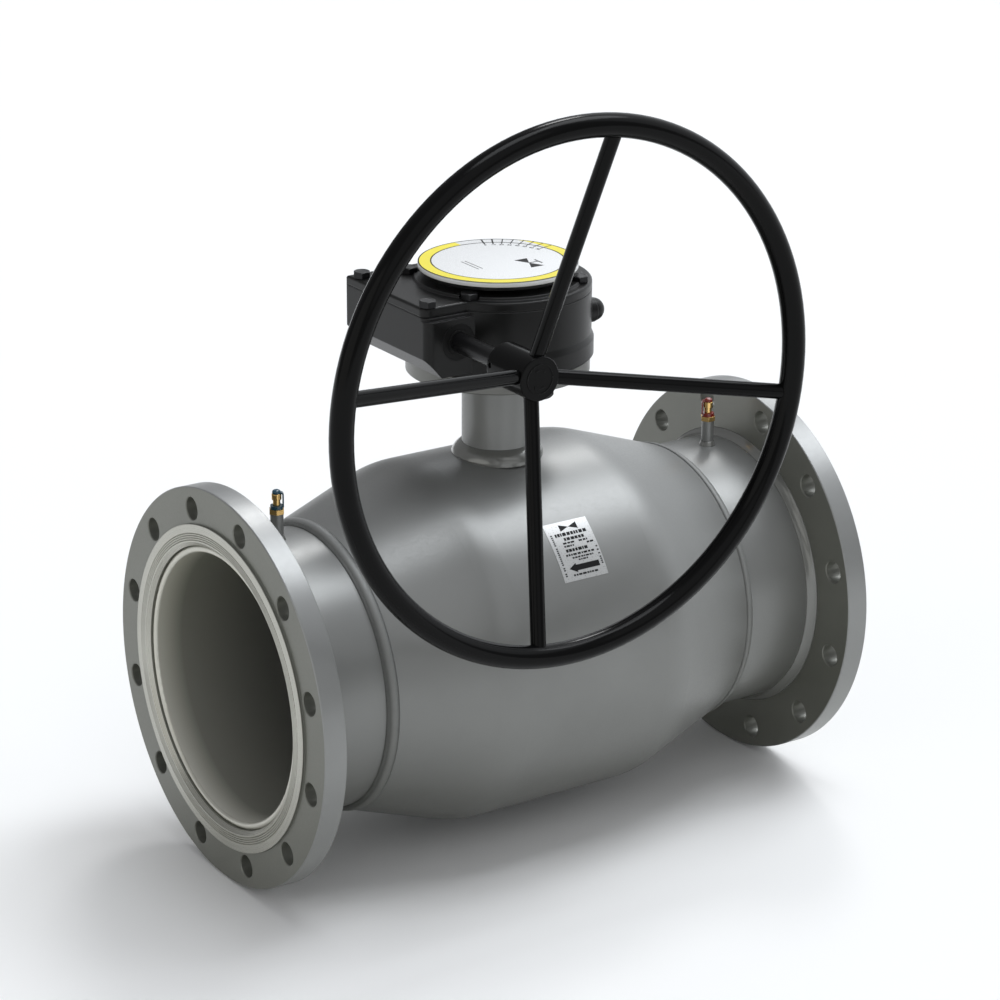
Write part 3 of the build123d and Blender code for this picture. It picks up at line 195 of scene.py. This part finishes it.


# colours are linear, edge is the rounding of an edge in mm; the edge colour pales the edges, partly
# as wear and partly as a painted highlight
greyPaint = dict(colour=(0.258, 0.262, 0.259), rough=0.37, metal=0.44, grain=420.0, bump=0.05,
                 vary=0.04, edge=1.2, wearAndSheen=0.25, wearAndSheenColour=(0.34, 0.35, 0.36))
# inside the bore: pale bare metal at the mouth, then painted shade darker with depth
boreShadeLook = dict(radius=158.0, blend=0.2, deep=190.0, mouth=366.0,
                stops=[(0.0, (0.07, 0.07, 0.062)), (0.82, (0.28, 0.28, 0.25)),
                       (0.92, (0.55, 0.545, 0.49)), (1.0, (0.74, 0.73, 0.67))])
finishes = {
    "bodyPaint": greyPaint,
    "pipePaint": dict(greyPaint, bore=boreShadeLook),
    "seamPaint": dict(colour=(0.245, 0.249, 0.246), rough=0.5, metal=0.3, grain=300.0, bump=0.08,
                      edge=5.0),
    # the rim is the flange paint made lighter, a painted highlight
    "rimSheenPaint": dict(colour=(0.30, 0.305, 0.305), rough=0.36, metal=0.5, grain=420.0, bump=0.05,
                     vary=0.04, edge=1.0),
    "flangePaint": dict(colour=(0.200, 0.203, 0.182), rough=0.36, metal=0.35, grain=420.0,
                        bump=0.05, vary=0.05, edge=1.0, wearAndSheen=0.3, wearAndSheenColour=(0.38, 0.38, 0.37)),
    "facedSteel": dict(colour=(0.45, 0.445, 0.40), rough=0.30, metal=0.85, across=(0, 1, 1),
                       marks=1400.0, bump=0.18, vary=0.03, edge=0.4),
    "weldPaint": dict(colour=(0.215, 0.218, 0.208), rough=0.20, metal=0.35, grain=160.0, bump=0.06,
                      vary=0.04, edge=1.5, coat=0.6),
    "weldSteel": dict(colour=(0.62, 0.61, 0.55), rough=0.34, metal=0.6, grain=260.0, bump=0.12,
                      edge=0.5),
    "palePaint": dict(colour=(0.19, 0.192, 0.184), rough=0.34, metal=0.4, grain=420.0, bump=0.05,
                      vary=0.04),
    # on the black castings and bolts the pale edges are mostly a painted highlight
    "blackCasting": dict(colour=(0.0070, 0.0070, 0.0070), rough=0.34, gloss=0.24, grain=900.0,
                         bump=0.16, vary=0.12, edge=2.0, wearAndSheen=0.7, wearAndSheenColour=(0.06, 0.06, 0.063)),
    "wheelCoat": dict(colour=(0.0040, 0.0040, 0.0042), rough=0.15, gloss=0.105, grain=500.0,
                      bump=0.03, vary=0.1, edge=1.0, wearAndSheen=0.3, wearAndSheenColour=(0.012, 0.012, 0.013)),
    "blackBolt": dict(colour=(0.010, 0.010, 0.011), rough=0.33, metal=0.5, grain=900.0, bump=0.08,
                      vary=0.12, edge=0.5, wearAndSheen=0.6, wearAndSheenColour=(0.12, 0.12, 0.125)),
    "turnedSteel": dict(colour=(0.5, 0.5, 0.49), rough=0.3, metal=1.0, across=(1, 1, 0),
                        marks=1500.0),
    "polishedBall": dict(colour=(0.7, 0.7, 0.71), rough=0.08, metal=1.0, grain=120.0, bump=0.01,
                         edge=0.6),
    "castIron": dict(colour=(0.14, 0.14, 0.145), rough=0.5, metal=0.7, grain=500.0, bump=0.2),
    "bronzeBush": dict(colour=(0.42, 0.24, 0.08), rough=0.32, metal=1.0, grain=700.0),
    "brassTurned": dict(colour=(0.78, 0.52, 0.20), rough=0.17, metal=1.0, grain=900.0, bump=0.08,
                        edge=0.5),
    "blueStrap": dict(colour=(0.006, 0.060, 0.100), rough=0.24, grain=1200.0, edge=0.6, coat=0.4),
    "redStrap": dict(colour=(0.20, 0.012, 0.006), rough=0.24, grain=1200.0, edge=0.6, coat=0.4),
    "dialWhite": dict(colour=(0.84, 0.85, 0.86), rough=0.26, grain=900.0, bump=0.02, vary=0.01,
                      edge=0.6),
    "dialYellow": dict(colour=(0.90, 0.78, 0.035), rough=0.34, grain=900.0, bump=0.02, vary=0.03,
                       edge=0.1),
    "printInk": dict(colour=(0.004, 0.004, 0.0045), rough=0.5, gloss=0.2, grain=1500.0, bump=0.03,
                     vary=0.2, edge=0.1),
    "labelFilm": dict(colour=(0.56, 0.565, 0.57), rough=0.30, metal=0.35, grain=700.0, bump=0.03,
                      vary=0.02, edge=0.2),
    "seatWhite": dict(colour=(0.75, 0.75, 0.7), rough=0.5, grain=400.0),
    "blackRubber": dict(colour=(0.006, 0.006, 0.006), rough=0.55, gloss=0.2, grain=900.0, bump=0.2),
}
mats = {name: finish(name, **look) for name, look in finishes.items()}

nodeFinish = {
    "bodyPaint": "body_shell neck_tube inlet_nipple outlet_nipple",
    "weldPaint": "flange_back_welds neck_weld inlet_nipple_weld outlet_nipple_weld",
    "pipePaint": "inlet_pipe outlet_pipe",
    "seamPaint": "shell_seam_welds",
    "weldSteel": "flange_face_welds",
    "palePaint": "mounting_flange mount_weld",
    "blackCasting": "gearbox_housing gearbox_cover dial_carrier worm_end_cap stop_caps",
    "wheelCoat": "handwheel_rim handwheel_spokes handwheel_hub",
    "blackBolt": "stop_screws stop_nuts worm_shaft hub_pin",
    "turnedSteel": "stem stem_keys stem_sleeve seat_cages disc_springs support_sleeves",
    "polishedBall": "ball",
    "castIron": "worm_wheel",
    "bronzeBush": "worm_bearings",
    "brassTurned": "inlet_union outlet_union inlet_cap outlet_cap",
    "blueStrap": "inlet_strap",
    "redStrap": "outlet_strap",
    "seatWhite": "seat_rings thrust_washer",
    "blackRubber": "stem_seals shaft_seal cover_gasket",
}
for name, members in nodeFinish.items():
    for node in members.split():
        nodes[node].data.materials.clear()
        nodes[node].data.materials.append(mats[name])
print("valve: finishes made")


# mesh helpers
def placed(name, data):
    thing = bpy.data.objects.new(name, data)
    bpy.context.scene.collection.objects.link(thing)
    return thing


def newPiece(name, verts, faces, finishName, sharp=35.0):
    # one mesh, with edges over the sharp angle left hard
    mesh = bpy.data.meshes.new(name)
    mesh.from_pydata([tuple(v) for v in verts], [], faces)
    work = bmesh.new()
    work.from_mesh(mesh)
    bmesh.ops.remove_doubles(work, verts=work.verts, dist=1e-6)
    bmesh.ops.recalc_face_normals(work, faces=work.faces)
    work.to_mesh(mesh)
    work.free()
    mesh.shade_smooth()
    mesh.set_sharp_from_angle(angle=math.radians(sharp))
    mesh.materials.append(mats[finishName])
    return placed(name, mesh)


def polar(radius, angle):
    return radius * math.cos(angle), radius * math.sin(angle)


def circle(radius, height, count):
    # a ring in metres from a radius and a height in mm, each a number or a list
    radii = radius if isinstance(radius, list) else [radius] * count
    heights = height if isinstance(height, list) else [height] * count
    return [Vector((*polar(r * mm, math.tau * i / count), h * mm))
            for i, (r, h) in enumerate(zip(radii, heights))]


def stacked(rings):
    # rings of points skinned one to the next and closed at both ends
    count = len(rings[0])
    verts = [point for ring in rings for point in ring]
    faces = []
    for low in range(0, len(verts) - count, count):
        for i in range(count):
            j = (i + 1) % count
            faces.append((low + i, low + j, low + count + j, low + count + i))
    faces += [tuple(range(count)), tuple(range(len(verts) - count, len(verts)))]
    return verts, faces


def turned(profile, steps, closed=True):
    # points of (radius, height) in mm turned about Z
    verts, faces = [], []
    count = len(profile)
    for step in range(steps):
        angle = math.tau * step / steps
        verts += [Vector((*polar(r * mm, angle), h * mm)) for r, h in profile]
    for step in range(steps):
        here, there = step * count, (step + 1) % steps * count
        for i in range(count if closed else count - 1):
            j = (i + 1) % count
            faces.append((here + i, there + i, there + j, here + j))
    return verts, faces


def prism(bottom, top):
    # a polygon and its copy above it, with the sides between them
    count = len(bottom)
    faces = [tuple(range(count, 2 * count)), tuple(reversed(range(count)))]
    faces += [(i, (i + 1) % count, (i + 1) % count + count, i + count) for i in range(count)]
    return bottom + top, faces


def moved(verts, matrix):
    return [matrix @ Vector(v) for v in verts]


def joined(parts):
    # several (verts, faces) as one
    verts, faces = [], []
    for partVerts, partFaces in parts:
        start = len(verts)
        verts += partVerts
        faces += [tuple(start + i for i in face) for face in partFaces]
    return verts, faces


def arcPoints(centre, radius, start, stop, count):
    angles = [math.radians(start + (stop - start) * i / count) for i in range(count + 1)]
    return [(centre[0] + x, centre[1] + y) for x, y in (polar(radius, angle) for angle in angles)]


# end flanges, in mm: ring grooves turned in the raised face and an edge broken at every bolt hole;
# faced is the bare metal
flangeShape = dict(bore=163.0, bevel=4.5, faceOuter=188.0, faceRise=3.0, faceEdge=0.4,
                   outer=229.98, edge=1.0, thick=31.0, grooveFrom=169.2, groovePitch=2.5,
                   grooves=4, grooveDepth=1.4, groovePlateau=1.1, boltCircle=205.0, holes=12,
                   hole=13.0, holeEdge=1.0, drillPast=4.0, facedOuter=187.9, facedDeep=5.5,
                   steps=256, holeSteps=48, sharp=25.0)


def flangeProfile(f):
    # heights run from the joint face, which is 0, into the flange
    front, edge, lip = f["faceRise"], f["edge"], f["faceEdge"]
    points = [(f["bore"], f["thick"]), (f["bore"], f["bevel"]), (f["bore"] + f["bevel"], 0.0)]
    for i in range(f["grooves"]):
        start = f["grooveFrom"] + i * f["groovePitch"]
        middle = start + (f["groovePitch"] - f["groovePlateau"]) / 2
        points += [(start, 0.0), (middle, f["grooveDepth"]), (2 * middle - start, 0.0)]
    points += [(f["faceOuter"] - lip, 0.0), (f["faceOuter"], lip), (f["faceOuter"], front)]
    points += [(f["outer"] - edge, front), (f["outer"], front + edge)]
    return points + [(f["outer"], f["thick"] - edge), (f["outer"] - edge, f["thick"])]


def holeCutter(f):
    # a drill with a countersink at each side of the flange
    low, high, past, edge = f["faceRise"], f["thick"], f["drillPast"], f["holeEdge"]
    half = [(f["hole"] + edge + past, low - past), (f["hole"], low + edge),
            (f["hole"], high - edge), (f["hole"] + edge + past, high + past)]
    return stacked([circle(r, h, f["holeSteps"]) for r, h in half])


def endFlange(name, node, side):
    f = flangeShape
    lowest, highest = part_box(node)
    plane = lowest.x if side < 0 else highest.x
    inward = Vector((-side, 0, 0))    # the local Z of the flange
    turn = Matrix.Translation((plane, 0, 0)) @ inward.to_track_quat("Z", "Y").to_matrix().to_4x4()
    verts, faces = turned(flangeProfile(f), f["steps"])
    piece = newPiece(name, moved(verts, turn), faces, "flangePaint", f["sharp"])
    drillVerts, drillFaces = holeCutter(f)
    drills = []
    for k in range(f["holes"]):
        angle = math.tau * (k + 0.5) / f["holes"]
        spot = Matrix.Translation((*polar(f["boltCircle"] * mm, angle), 0))
        drills.append((moved(drillVerts, turn @ spot), drillFaces))
    cutter = newPiece(name + "Drills", *joined(drills), "flangePaint")
    cut = piece.modifiers.new("holes", "BOOLEAN")
    cut.operation, cut.solver, cut.object = "DIFFERENCE", "EXACT", cutter
    bpy.context.view_layer.update()
    drilled = piece.evaluated_get(bpy.context.evaluated_depsgraph_get())
    result = bpy.data.meshes.new_from_object(drilled)
    piece.modifiers.clear()
    piece.data = result
    bpy.data.objects.remove(cutter)
    result.shade_smooth()
    result.set_sharp_from_angle(angle=math.radians(f["sharp"]))
    # the raised face is bare metal; the rim is a lighter grey, a painted highlight for the light it
    # catches
    result.materials.clear()
    for coat in ("flangePaint", "facedSteel", "rimSheenPaint"):
        result.materials.append(mats[coat])
    for polygon in result.polygons:
        reach = math.hypot(polygon.center.y, polygon.center.z)
        depth = abs(polygon.center.x - plane)
        if reach < f["facedOuter"] * mm and depth < f["facedDeep"] * mm:
            polygon.material_index = 1
        elif reach > (f["outer"] - f["edge"]) * mm:
            polygon.material_index = 2
    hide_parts(node)
    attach(piece, "valve_body")


endFlange("inletFlange", "inlet_flange", -1)
endFlange("outletFlange", "outlet_flange", 1)
print("valve: flanges turned and drilled")


# hexagon bolts, one piece for each set; points within near mm of each other belong to one bolt
boltSets = {
    "coverBoltSet": dict(node="cover_bolts", up=(0, 0, 1), flats=18.0, head=7.56, shank=6.0,
                         near=24.0, ring=False),
    "flangeBoltSet": dict(node="mounting_bolts", up=(0, 0, -1), flats=30.0, head=12.6, shank=10.0,
                          near=40.0, ring=True),
    "endCapBoltSet": dict(node="end_cap_screws", up=(0, 1, 0), flats=10.0, head=3.78, shank=3.0,
                          near=14.0, ring=False),
}
# washer face and crown as shares of half the flats, the dish as shares of the crown, heights in mm
hexShape = dict(washer=0.95, washerHigh=0.4, crown=0.94, dish=(0.82, 0.76), dishDeep=0.25,
                chamfer=30.0, sideSteps=12)


def fasteners(node, up, near):
    # lowest and highest corner of each fastener of a node, told apart across their axis
    normal = Vector(up)
    groups = []
    for vert in nodes[node].data.vertices:
        flat = vert.co - normal * vert.co.dot(normal)
        for first, points in groups:
            if (first - flat).length < near * mm:
                points.append(vert.co)
                break
        else:
            groups.append((flat, [vert.co]))
    return [[Vector([limit(p[i] for p in points) for i in range(3)]) for limit in (min, max)]
            for _, points in groups]


def hexBolt(flats, head, shank, length):
    # the crown is cut by a cone, so its edge runs in arcs over the six flats
    s = hexShape
    half, steps = flats / 2, s["sideSteps"]
    count = steps * 6
    slope = math.tan(math.radians(s["chamfer"]))
    sides = [half / math.cos((i % steps) * math.pi / 3 / steps - math.pi / 6) for i in range(count)]
    crown, washer, seat = half * s["crown"], half * s["washer"], s["washerHigh"]
    cone = [head - max(0.0, r - crown) * slope for r in sides]
    dish, dishFloor = [crown * share for share in s["dish"]], head - s["dishDeep"]
    rings = [(shank, -length), (shank, 0), (washer, 0), (washer, seat), (sides, seat),
             (sides, cone), (crown, head), (dish[0], head), (dish[1], dishFloor)]
    return stacked([circle(radius, height, count) for radius, height in rings])


for pieceName, look in boltSets.items():
    up = Vector(look["up"])
    axis = max(range(3), key=lambda i: abs(up[i]))
    bolts = []
    for low, high in fasteners(look["node"], up, look["near"]):
        middle = (low + high) / 2
        top = high if up[axis] > 0 else low
        seatAt = middle.copy()
        seatAt[axis] = top[axis] - up[axis] * look["head"] * mm
        length = (high[axis] - low[axis]) / mm - look["head"]
        verts, faces = hexBolt(look["flats"], look["head"], look["shank"], length)
        # a corner of each head points along X, or outwards where the bolts stand in a ring
        outwards = Vector((middle.x, middle.y, 0) if look["ring"] else (1, 0, 0)).normalized()
        facing = Matrix((outwards, up.cross(outwards), up)).transposed().to_4x4()
        bolts.append((moved(verts, Matrix.Translation(seatAt) @ facing), faces))
    piece = newPiece(pieceName, *joined(bolts), "blackBolt", sharp=20.0)
    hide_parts(look["node"])
    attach(piece, "valve_body")
    print("valve:", pieceName, len(bolts), "bolts")


# dial: a moulded disc with a yellow band, a scale in its gap and plain marks; angles are in degrees
dialShape = dict(radius=91.2, bottom=433.46, top=438.96, topRound=2.2, footRound=0.6, steps=192,
                 print=0.08, linePrint=0.12, markPrint=0.16, band=(77.0, 89.4), bandFrom=90.0,
                 bandTo=368.0, wedgeTo=401.0, wedgeTip=0.3, lineWidth=1.5, tickFrom=69.0,
                 tickStep=-8.0, ticks=8, boldTicks=2, tickReach=(70.0, 90.0), tickWidth=(1.8, 1.2),
                 numberAt=66.0, numberSize=5.5, symbolAt=(24.0, -27.0), symbolSize=(34.0, 17.0),
                 spindle=1.6, lever=1.8, leverShare=0.9, ruleAt=(-33.0, -38.0), ruleLength=36.0,
                 ruleWidth=0.8)


def printedRing(inner, outer, start, stop, height, lift):
    # a flat band in steps of about 2 degrees; inner and outer may be pairs, so that it tapers
    count = max(4, int(abs(stop - start) / 2))
    (innerFrom, innerTo), (outerFrom, outerTo) = (
        edge if isinstance(edge, tuple) else (edge, edge) for edge in (inner, outer))
    verts, faces = [], []
    for i in range(count + 1):
        share = i / count
        angle = math.radians(start + (stop - start) * share)
        near = innerFrom + (innerTo - innerFrom) * share
        far = outerFrom + (outerTo - outerFrom) * share
        for r in (near, far):
            verts += [Vector((*polar(r * mm, angle), h * mm)) for h in (height, height + lift)]
    for i in range(count):
        a, b = i * 4, (i + 1) * 4
        faces += [(a + 1, a + 3, b + 3, b + 1), (a, b, b + 2, a + 2)]
        faces += [(a, a + 1, b + 1, b), (a + 2, b + 2, b + 3, a + 3)]
    end = count * 4
    faces += [(0, 2, 3, 1), (end, end + 1, end + 3, end + 2)]
    return verts, faces


def printedPlate(corners, height, lift):
    # a flat polygon with the thickness of a coat of ink
    levels = (height, height + lift)
    return prism(*[[Vector((x * mm, y * mm, h * mm)) for x, y in corners] for h in levels])


def bar(x, y, length, width, angle=0.0):
    # corners of a bar about its middle
    c, s = math.cos(math.radians(angle)), math.sin(math.radians(angle))
    corners = [(i * length / 2, j * width / 2) for i, j in ((-1, -1), (1, -1), (1, 1), (-1, 1))]
    return [(x + a * c - b * s, y + a * s + b * c) for a, b in corners]


d = dialShape
r = d["footRound"]
foot = arcPoints((d["radius"] - r, d["bottom"] + r), r, -90, 0, 4)
r = d["topRound"]
rim = arcPoints((d["radius"] - r, d["top"] - r), r, 0, 90, 8)
profile = [(0.0, d["bottom"])] + foot + rim + [(0.0, d["top"])]
dial = newPiece("dialPlate", *turned(profile, d["steps"], closed=False), "dialWhite", sharp=40.0)
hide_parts("dial_disc")
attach(dial, "stem")

top, bandIn, bandOut = d["top"], *d["band"]
wedge = (bandIn, bandOut - d["wedgeTip"])
band = [printedRing(bandIn, bandOut, d["bandFrom"], d["bandTo"], top, d["print"]),
        printedRing(wedge, bandOut, d["bandTo"], d["wedgeTo"], top, d["print"])]
dialBand = newPiece("dialBand", *joined(band), "dialYellow")
lines = [printedRing(r, r + d["lineWidth"], 0, 360, top, d["linePrint"])
         for r in (bandIn - d["lineWidth"], bandOut)]
near, far = d["tickReach"]
for k in range(d["ticks"]):
    angle = d["tickFrom"] + k * d["tickStep"]
    x, y = polar((near + far) / 2, math.radians(angle))
    width = d["tickWidth"][0 if k < d["boldTicks"] else 1]
    lines.append(printedPlate(bar(x, y, far - near, width, angle), top, d["markPrint"]))

# a valve's symbol, two triangles with spindle and lever, and a pair of plain rules
x, y = d["symbolAt"]
wide, high = d["symbolSize"][0] / 2, d["symbolSize"][1] / 2
for sign in (-1, 1):
    triangle = [(x, y), (x + high, y + sign * wide), (x - high, y + sign * wide)]
    lines.append(printedPlate(triangle[::sign], top, d["markPrint"]))
bars = [bar(x + high * 0.75, y, high * 1.5, d["spindle"]),
        bar(x + high * 1.5, y, d["lever"], wide * d["leverShare"])]
bars += [bar(at, 0, d["ruleWidth"], d["ruleLength"]) for at in d["ruleAt"]]
lines += [printedPlate(corners, top, d["markPrint"]) for corners in bars]
dialMarks = newPiece("dialMarks", *joined(lines), "printInk")

numbers = []
for k in range(d["ticks"]):
    angle = math.radians(d["tickFrom"] + k * d["tickStep"])
    text = bpy.data.curves.new("number", "FONT")
    text.body = str(k * 10)
    text.size = d["numberSize"] * mm
    text.align_x, text.align_y = "CENTER", "CENTER"
    text.extrude = d["print"] * mm
    holder = bpy.data.objects.new("number", text)
    digits = bpy.data.meshes.new_from_object(holder)
    place = Matrix.Translation((*polar(d["numberAt"] * mm, angle), (top + d["print"]) * mm))
    place = place @ Matrix.Rotation(angle - math.pi / 2, 4, "Z")
    outline = moved([v.co for v in digits.vertices], place)
    numbers.append((outline, [tuple(p.vertices) for p in digits.polygons]))
    bpy.data.objects.remove(holder)
dialNumbers = newPiece("dialNumbers", *joined(numbers), "printInk")
for piece in (dialBand, dialMarks, dialNumbers):
    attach(piece, "stem")
print("valve: dial printed")


# type plate: a thin film on the shell. Its edges are in mm along the pipe and in degrees up from
# level; what is printed on it is in shares of its width and of its height from the top
plateShape = dict(left=-28.5, right=30.5, top=51.2, bottom=31.9, under=0.02, thick=0.25, ink=0.07,
                  columns=4, steps=24)
platePrint = dict(
    seed=4, dash=(0.03, 0.085), dashGap=(0.012, 0.022), dashLeast=0.02,
    # rows of dashes: height, left, right, thickness
    rows=[(0.225, 0.16, 0.90, 0.056), (0.312, 0.32, 0.80, 0.050), (0.378, 0.26, 0.52, 0.030),
          (0.378, 0.62, 0.82, 0.030), (0.432, 0.26, 0.48, 0.030), (0.432, 0.78, 0.93, 0.030),
          (0.508, 0.26, 0.76, 0.050), (0.582, 0.22, 0.88, 0.032), (0.638, 0.34, 0.82, 0.026),
          (0.682, 0.46, 0.68, 0.024), (0.912, 0.24, 0.82, 0.030)],
    # columns of short dashes: middle, first, last
    columns=[(0.08, 0.20, 0.90), (0.95, 0.52, 0.82)],
    columnHalf=0.02, columnDash=0.022, columnPitch=(0.034, 0.034, 0.06),
    # flow arrow, which points to the left
    tip=0.19, neck=0.36, tail=0.88, middle=0.80, half=0.047, wing=0.078,
    # valve symbol: middle, reach to a side, half its height
    symbol=(0.53, 0.110), symbolReach=0.20, symbolHalf=0.060)
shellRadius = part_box("body_shell")[1].z


def onShell(across, down, lift):
    # across from 0 to 1 along the pipe, down from 0 to 1 round the shell
    s = plateShape
    x = (s["left"] + (s["right"] - s["left"]) * across) * mm
    angle = math.radians(s["top"] + (s["bottom"] - s["top"]) * down)
    radius = shellRadius + lift * mm
    return Vector((x, -radius * math.cos(angle), radius * math.sin(angle)))


def shellPatch(left, right, high, low, under, over, columns=1, rows=1):
    # a rectangle on the shell, from one height above it to another
    verts = [onShell(left + (right - left) * j / columns, high + (low - high) * i / rows, level)
             for level in (under, over) for i in range(rows + 1) for j in range(columns + 1)]
    wide = columns + 1
    layer = wide * (rows + 1)
    faces = []
    for i in range(rows):
        for j in range(columns):
            a = i * wide + j
            b = a + wide
            faces += [(layer + a, layer + b, layer + b + 1, layer + a + 1), (a, a + 1, b + 1, b)]
    border = list(range(columns)) + [columns + i * wide for i in range(rows)]
    border += [rows * wide + j for j in range(columns, 0, -1)]
    border += [i * wide for i in range(rows, 0, -1)]
    for i, a in enumerate(border):
        b = border[(i + 1) % len(border)]
        faces.append((a, b, layer + b, layer + a))
    return verts, faces


def shellWedge(corners, under, over):
    # a triangle on the shell
    return prism(*[[onShell(*corner, level) for corner in corners] for level in (under, over)])


s = plateShape
film = shellPatch(0, 1, 0, 1, s["under"], s["thick"], s["columns"], s["steps"])
plate = newPiece("flowPlate", *film, "labelFilm")
p = platePrint
ink = []
random.seed(p["seed"])
low, high = s["thick"], s["thick"] + s["ink"]
for height, left, right, thick in p["rows"]:
    at = left
    while at < right - p["dashLeast"]:
        dash = min(random.uniform(*p["dash"]), right - at)
        ink.append(shellPatch(at, at + dash, height - thick / 2, height + thick / 2, low, high))
        at += dash + random.uniform(*p["dashGap"])
for column, first, last in p["columns"]:
    left, right = column - p["columnHalf"], column + p["columnHalf"]
    at = first
    while at < last:
        ink.append(shellPatch(left, right, at, at + p["columnDash"], low, high))
        at += random.choice(p["columnPitch"])
upper, lower = p["middle"] - p["half"], p["middle"] + p["half"]
ink.append(shellPatch(p["neck"], p["tail"], upper, lower, low, high))
for sign in (-1, 1):
    wingTip = (p["neck"], p["middle"] + sign * p["wing"])
    ink.append(shellWedge([(p["tip"], p["middle"]), wingTip, (p["neck"], p["middle"])], low, high))
x, y = p["symbol"]
for sign in (-1, 1):
    end = x + sign * p["symbolReach"]
    corners = [(x, y), (end, y - p["symbolHalf"]), (end, y + p["symbolHalf"])]
    ink.append(shellWedge(corners, low, high))
plateInk = newPiece("flowPlateInk", *joined(ink), "printInk")
for piece in (plate, plateInk):
    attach(piece, "valve_body")
print("valve: plate laid on the shell")


# raised ring and turning arrows on the face of the hub; sweep and lead are in degrees
hubFace = dict(ring=(15.6, 17.0), rise=0.5, arrow=(9.4, 11.4), sweep=62.0, headWidth=4.6,
               headLead=16.0)
h = hubFace
hubLow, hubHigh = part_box("handwheel_hub")
hubAt = Vector(((hubLow.x + hubHigh.x) / 2, hubLow.y, (hubLow.z + hubHigh.z) / 2))
relief = [printedRing(*h["ring"], 0, 360, 0, h["rise"])]
inner, outer = h["arrow"]
middle, headHalf = (inner + outer) / 2, h["headWidth"] / 2
for start in (90 - h["sweep"] / 2, 270 - h["sweep"] / 2):
    relief.append(printedRing(inner, outer, start, start + h["sweep"], 0, h["rise"]))
    tip, root = math.radians(start - h["headLead"]), math.radians(start)
    corners = [polar(middle, tip), polar(middle + headHalf, root), polar(middle - headHalf, root)]
    relief.append(printedPlate(corners, 0, h["rise"]))
verts, faces = joined(relief)
place = Matrix.Translation(hubAt) @ Matrix.Rotation(math.pi / 2, 4, "X")
hubMarks = newPiece("hubMarks", moved(verts, place), faces, "wheelCoat")
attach(hubMarks, "handwheel")
print("valve: hub marked")


def bearing(turn, rise):
    # a direction in degrees: turn from the handwheel's side to the outlet's, rise above level
    turn, rise = math.radians(turn), math.radians(rise)
    level = math.cos(rise)
    return Vector((math.sin(turn) * level, -math.cos(turn) * level, math.sin(rise)))


# camera fitted to the flange holes of the photograph
cameraView = dict(place=(-2.0399, -3.0464, 1.4812), turn=-33.864, rise=19.942, roll=0.325,
                  lens=121.1, sensor=36, farthest=60)
back = bearing(cameraView["turn"], cameraView["rise"])
side = (-back).cross(Vector((0, 0, 1))).normalized()
above = side.cross(-back)
roll = math.radians(cameraView["roll"])
camSide = math.cos(roll) * side + math.sin(roll) * above
camTop = -math.sin(roll) * side + math.cos(roll) * above
camData = bpy.data.cameras.new("camera")
camData.lens = cameraView["lens"]
camData.sensor_width = cameraView["sensor"]
camData.clip_end = cameraView["farthest"]
cam = placed("camera", camData)
axes = Matrix((camSide, camTop, back)).transposed().to_4x4()
cam.matrix_world = Matrix.Translation(Vector(cameraView["place"])) @ axes
bpy.context.scene.camera = cam
bpy.context.scene.view_settings.view_transform = "Standard"

# plain pale floor; what it throws back on the valve is darker than what the camera sees
floorLook = dict(height=-0.2305, reach=24.0, rough=0.9, seen=(0.9, 0.9, 0.9),
                 thrown=(0.44, 0.44, 0.38))
floorMesh = bpy.data.meshes.new("floor")
reach = floorLook["reach"]
corners = [(-reach, -reach), (reach, -reach), (reach, reach), (-reach, reach)]
floorMesh.from_pydata([(x, y, floorLook["height"]) for x, y in corners], [], [(0, 1, 2, 3)])
floor = placed("floor", floorMesh)
floorMat, tree, shader = newMaterial("floorPaper")
shader.inputs["Roughness"].default_value = floorLook["rough"]
shader.inputs["Specular IOR Level"].default_value = 0.0
path = tree.nodes.new("ShaderNodeLightPath")
seen = path.outputs["Is Camera Ray"]
for other in ("Is Glossy Ray", "Is Transmission Ray"):
    either = tree.nodes.new("ShaderNodeMath")
    either.operation = "MAXIMUM"
    tree.links.new(seen, either.inputs[0])
    tree.links.new(path.outputs[other], either.inputs[1])
    seen = either.outputs["Value"]
grey = rampNode(tree, seen, [(0.0, floorLook["thrown"]), (1.0, floorLook["seen"])])
tree.links.new(grey, shader.inputs["Base Color"])
floorMesh.materials.append(floorMat)

# soft studio light: a plain room and wide round lamps, which light the floor evenly
studio = dict(colour=(0.97, 0.98, 1.0), strength=0.29)
world = bpy.data.worlds.new("studio")
bpy.context.scene.world = world
world.use_nodes = True
background = world.node_tree.nodes["Background"]
background.inputs["Color"].default_value = (*studio["colour"], 1)
background.inputs["Strength"].default_value = studio["strength"]


def softLamp(name, turn, rise, wide, power, colour):
    # wide is the lamp's width in degrees
    towards = bearing(turn, rise)
    data = bpy.data.lights.new(name, "SUN")
    data.angle = math.radians(wide)
    data.energy = power
    data.color = colour
    lamp = placed(name, data)
    lamp.location = towards * 3    # only its direction counts
    lamp.rotation_euler = towards.to_track_quat("Z", "Y").to_euler()


lampSet = {
    "topLamp": dict(turn=55, rise=80, wide=29, power=0.93, colour=(0.94, 0.97, 1.0)),
    "shoulderLamp": dict(turn=88, rise=57, wide=28, power=0.80, colour=(0.94, 0.97, 1.0)),
    "rightLamp": dict(turn=100, rise=25, wide=88, power=1.25, colour=(0.93, 0.965, 1.0)),
    "frontLamp": dict(turn=-5, rise=36, wide=60, power=0.34, colour=(0.97, 0.985, 1.0)),
    "leftLamp": dict(turn=-78, rise=8, wide=66, power=0.60, colour=(1.0, 0.99, 0.95)),
    "backLamp": dict(turn=138, rise=46, wide=12, power=0.42, colour=(1.0, 1.0, 1.0)),
}
for name, lamp in lampSet.items():
    softLamp(name, **lamp)
print("valve: studio lit")
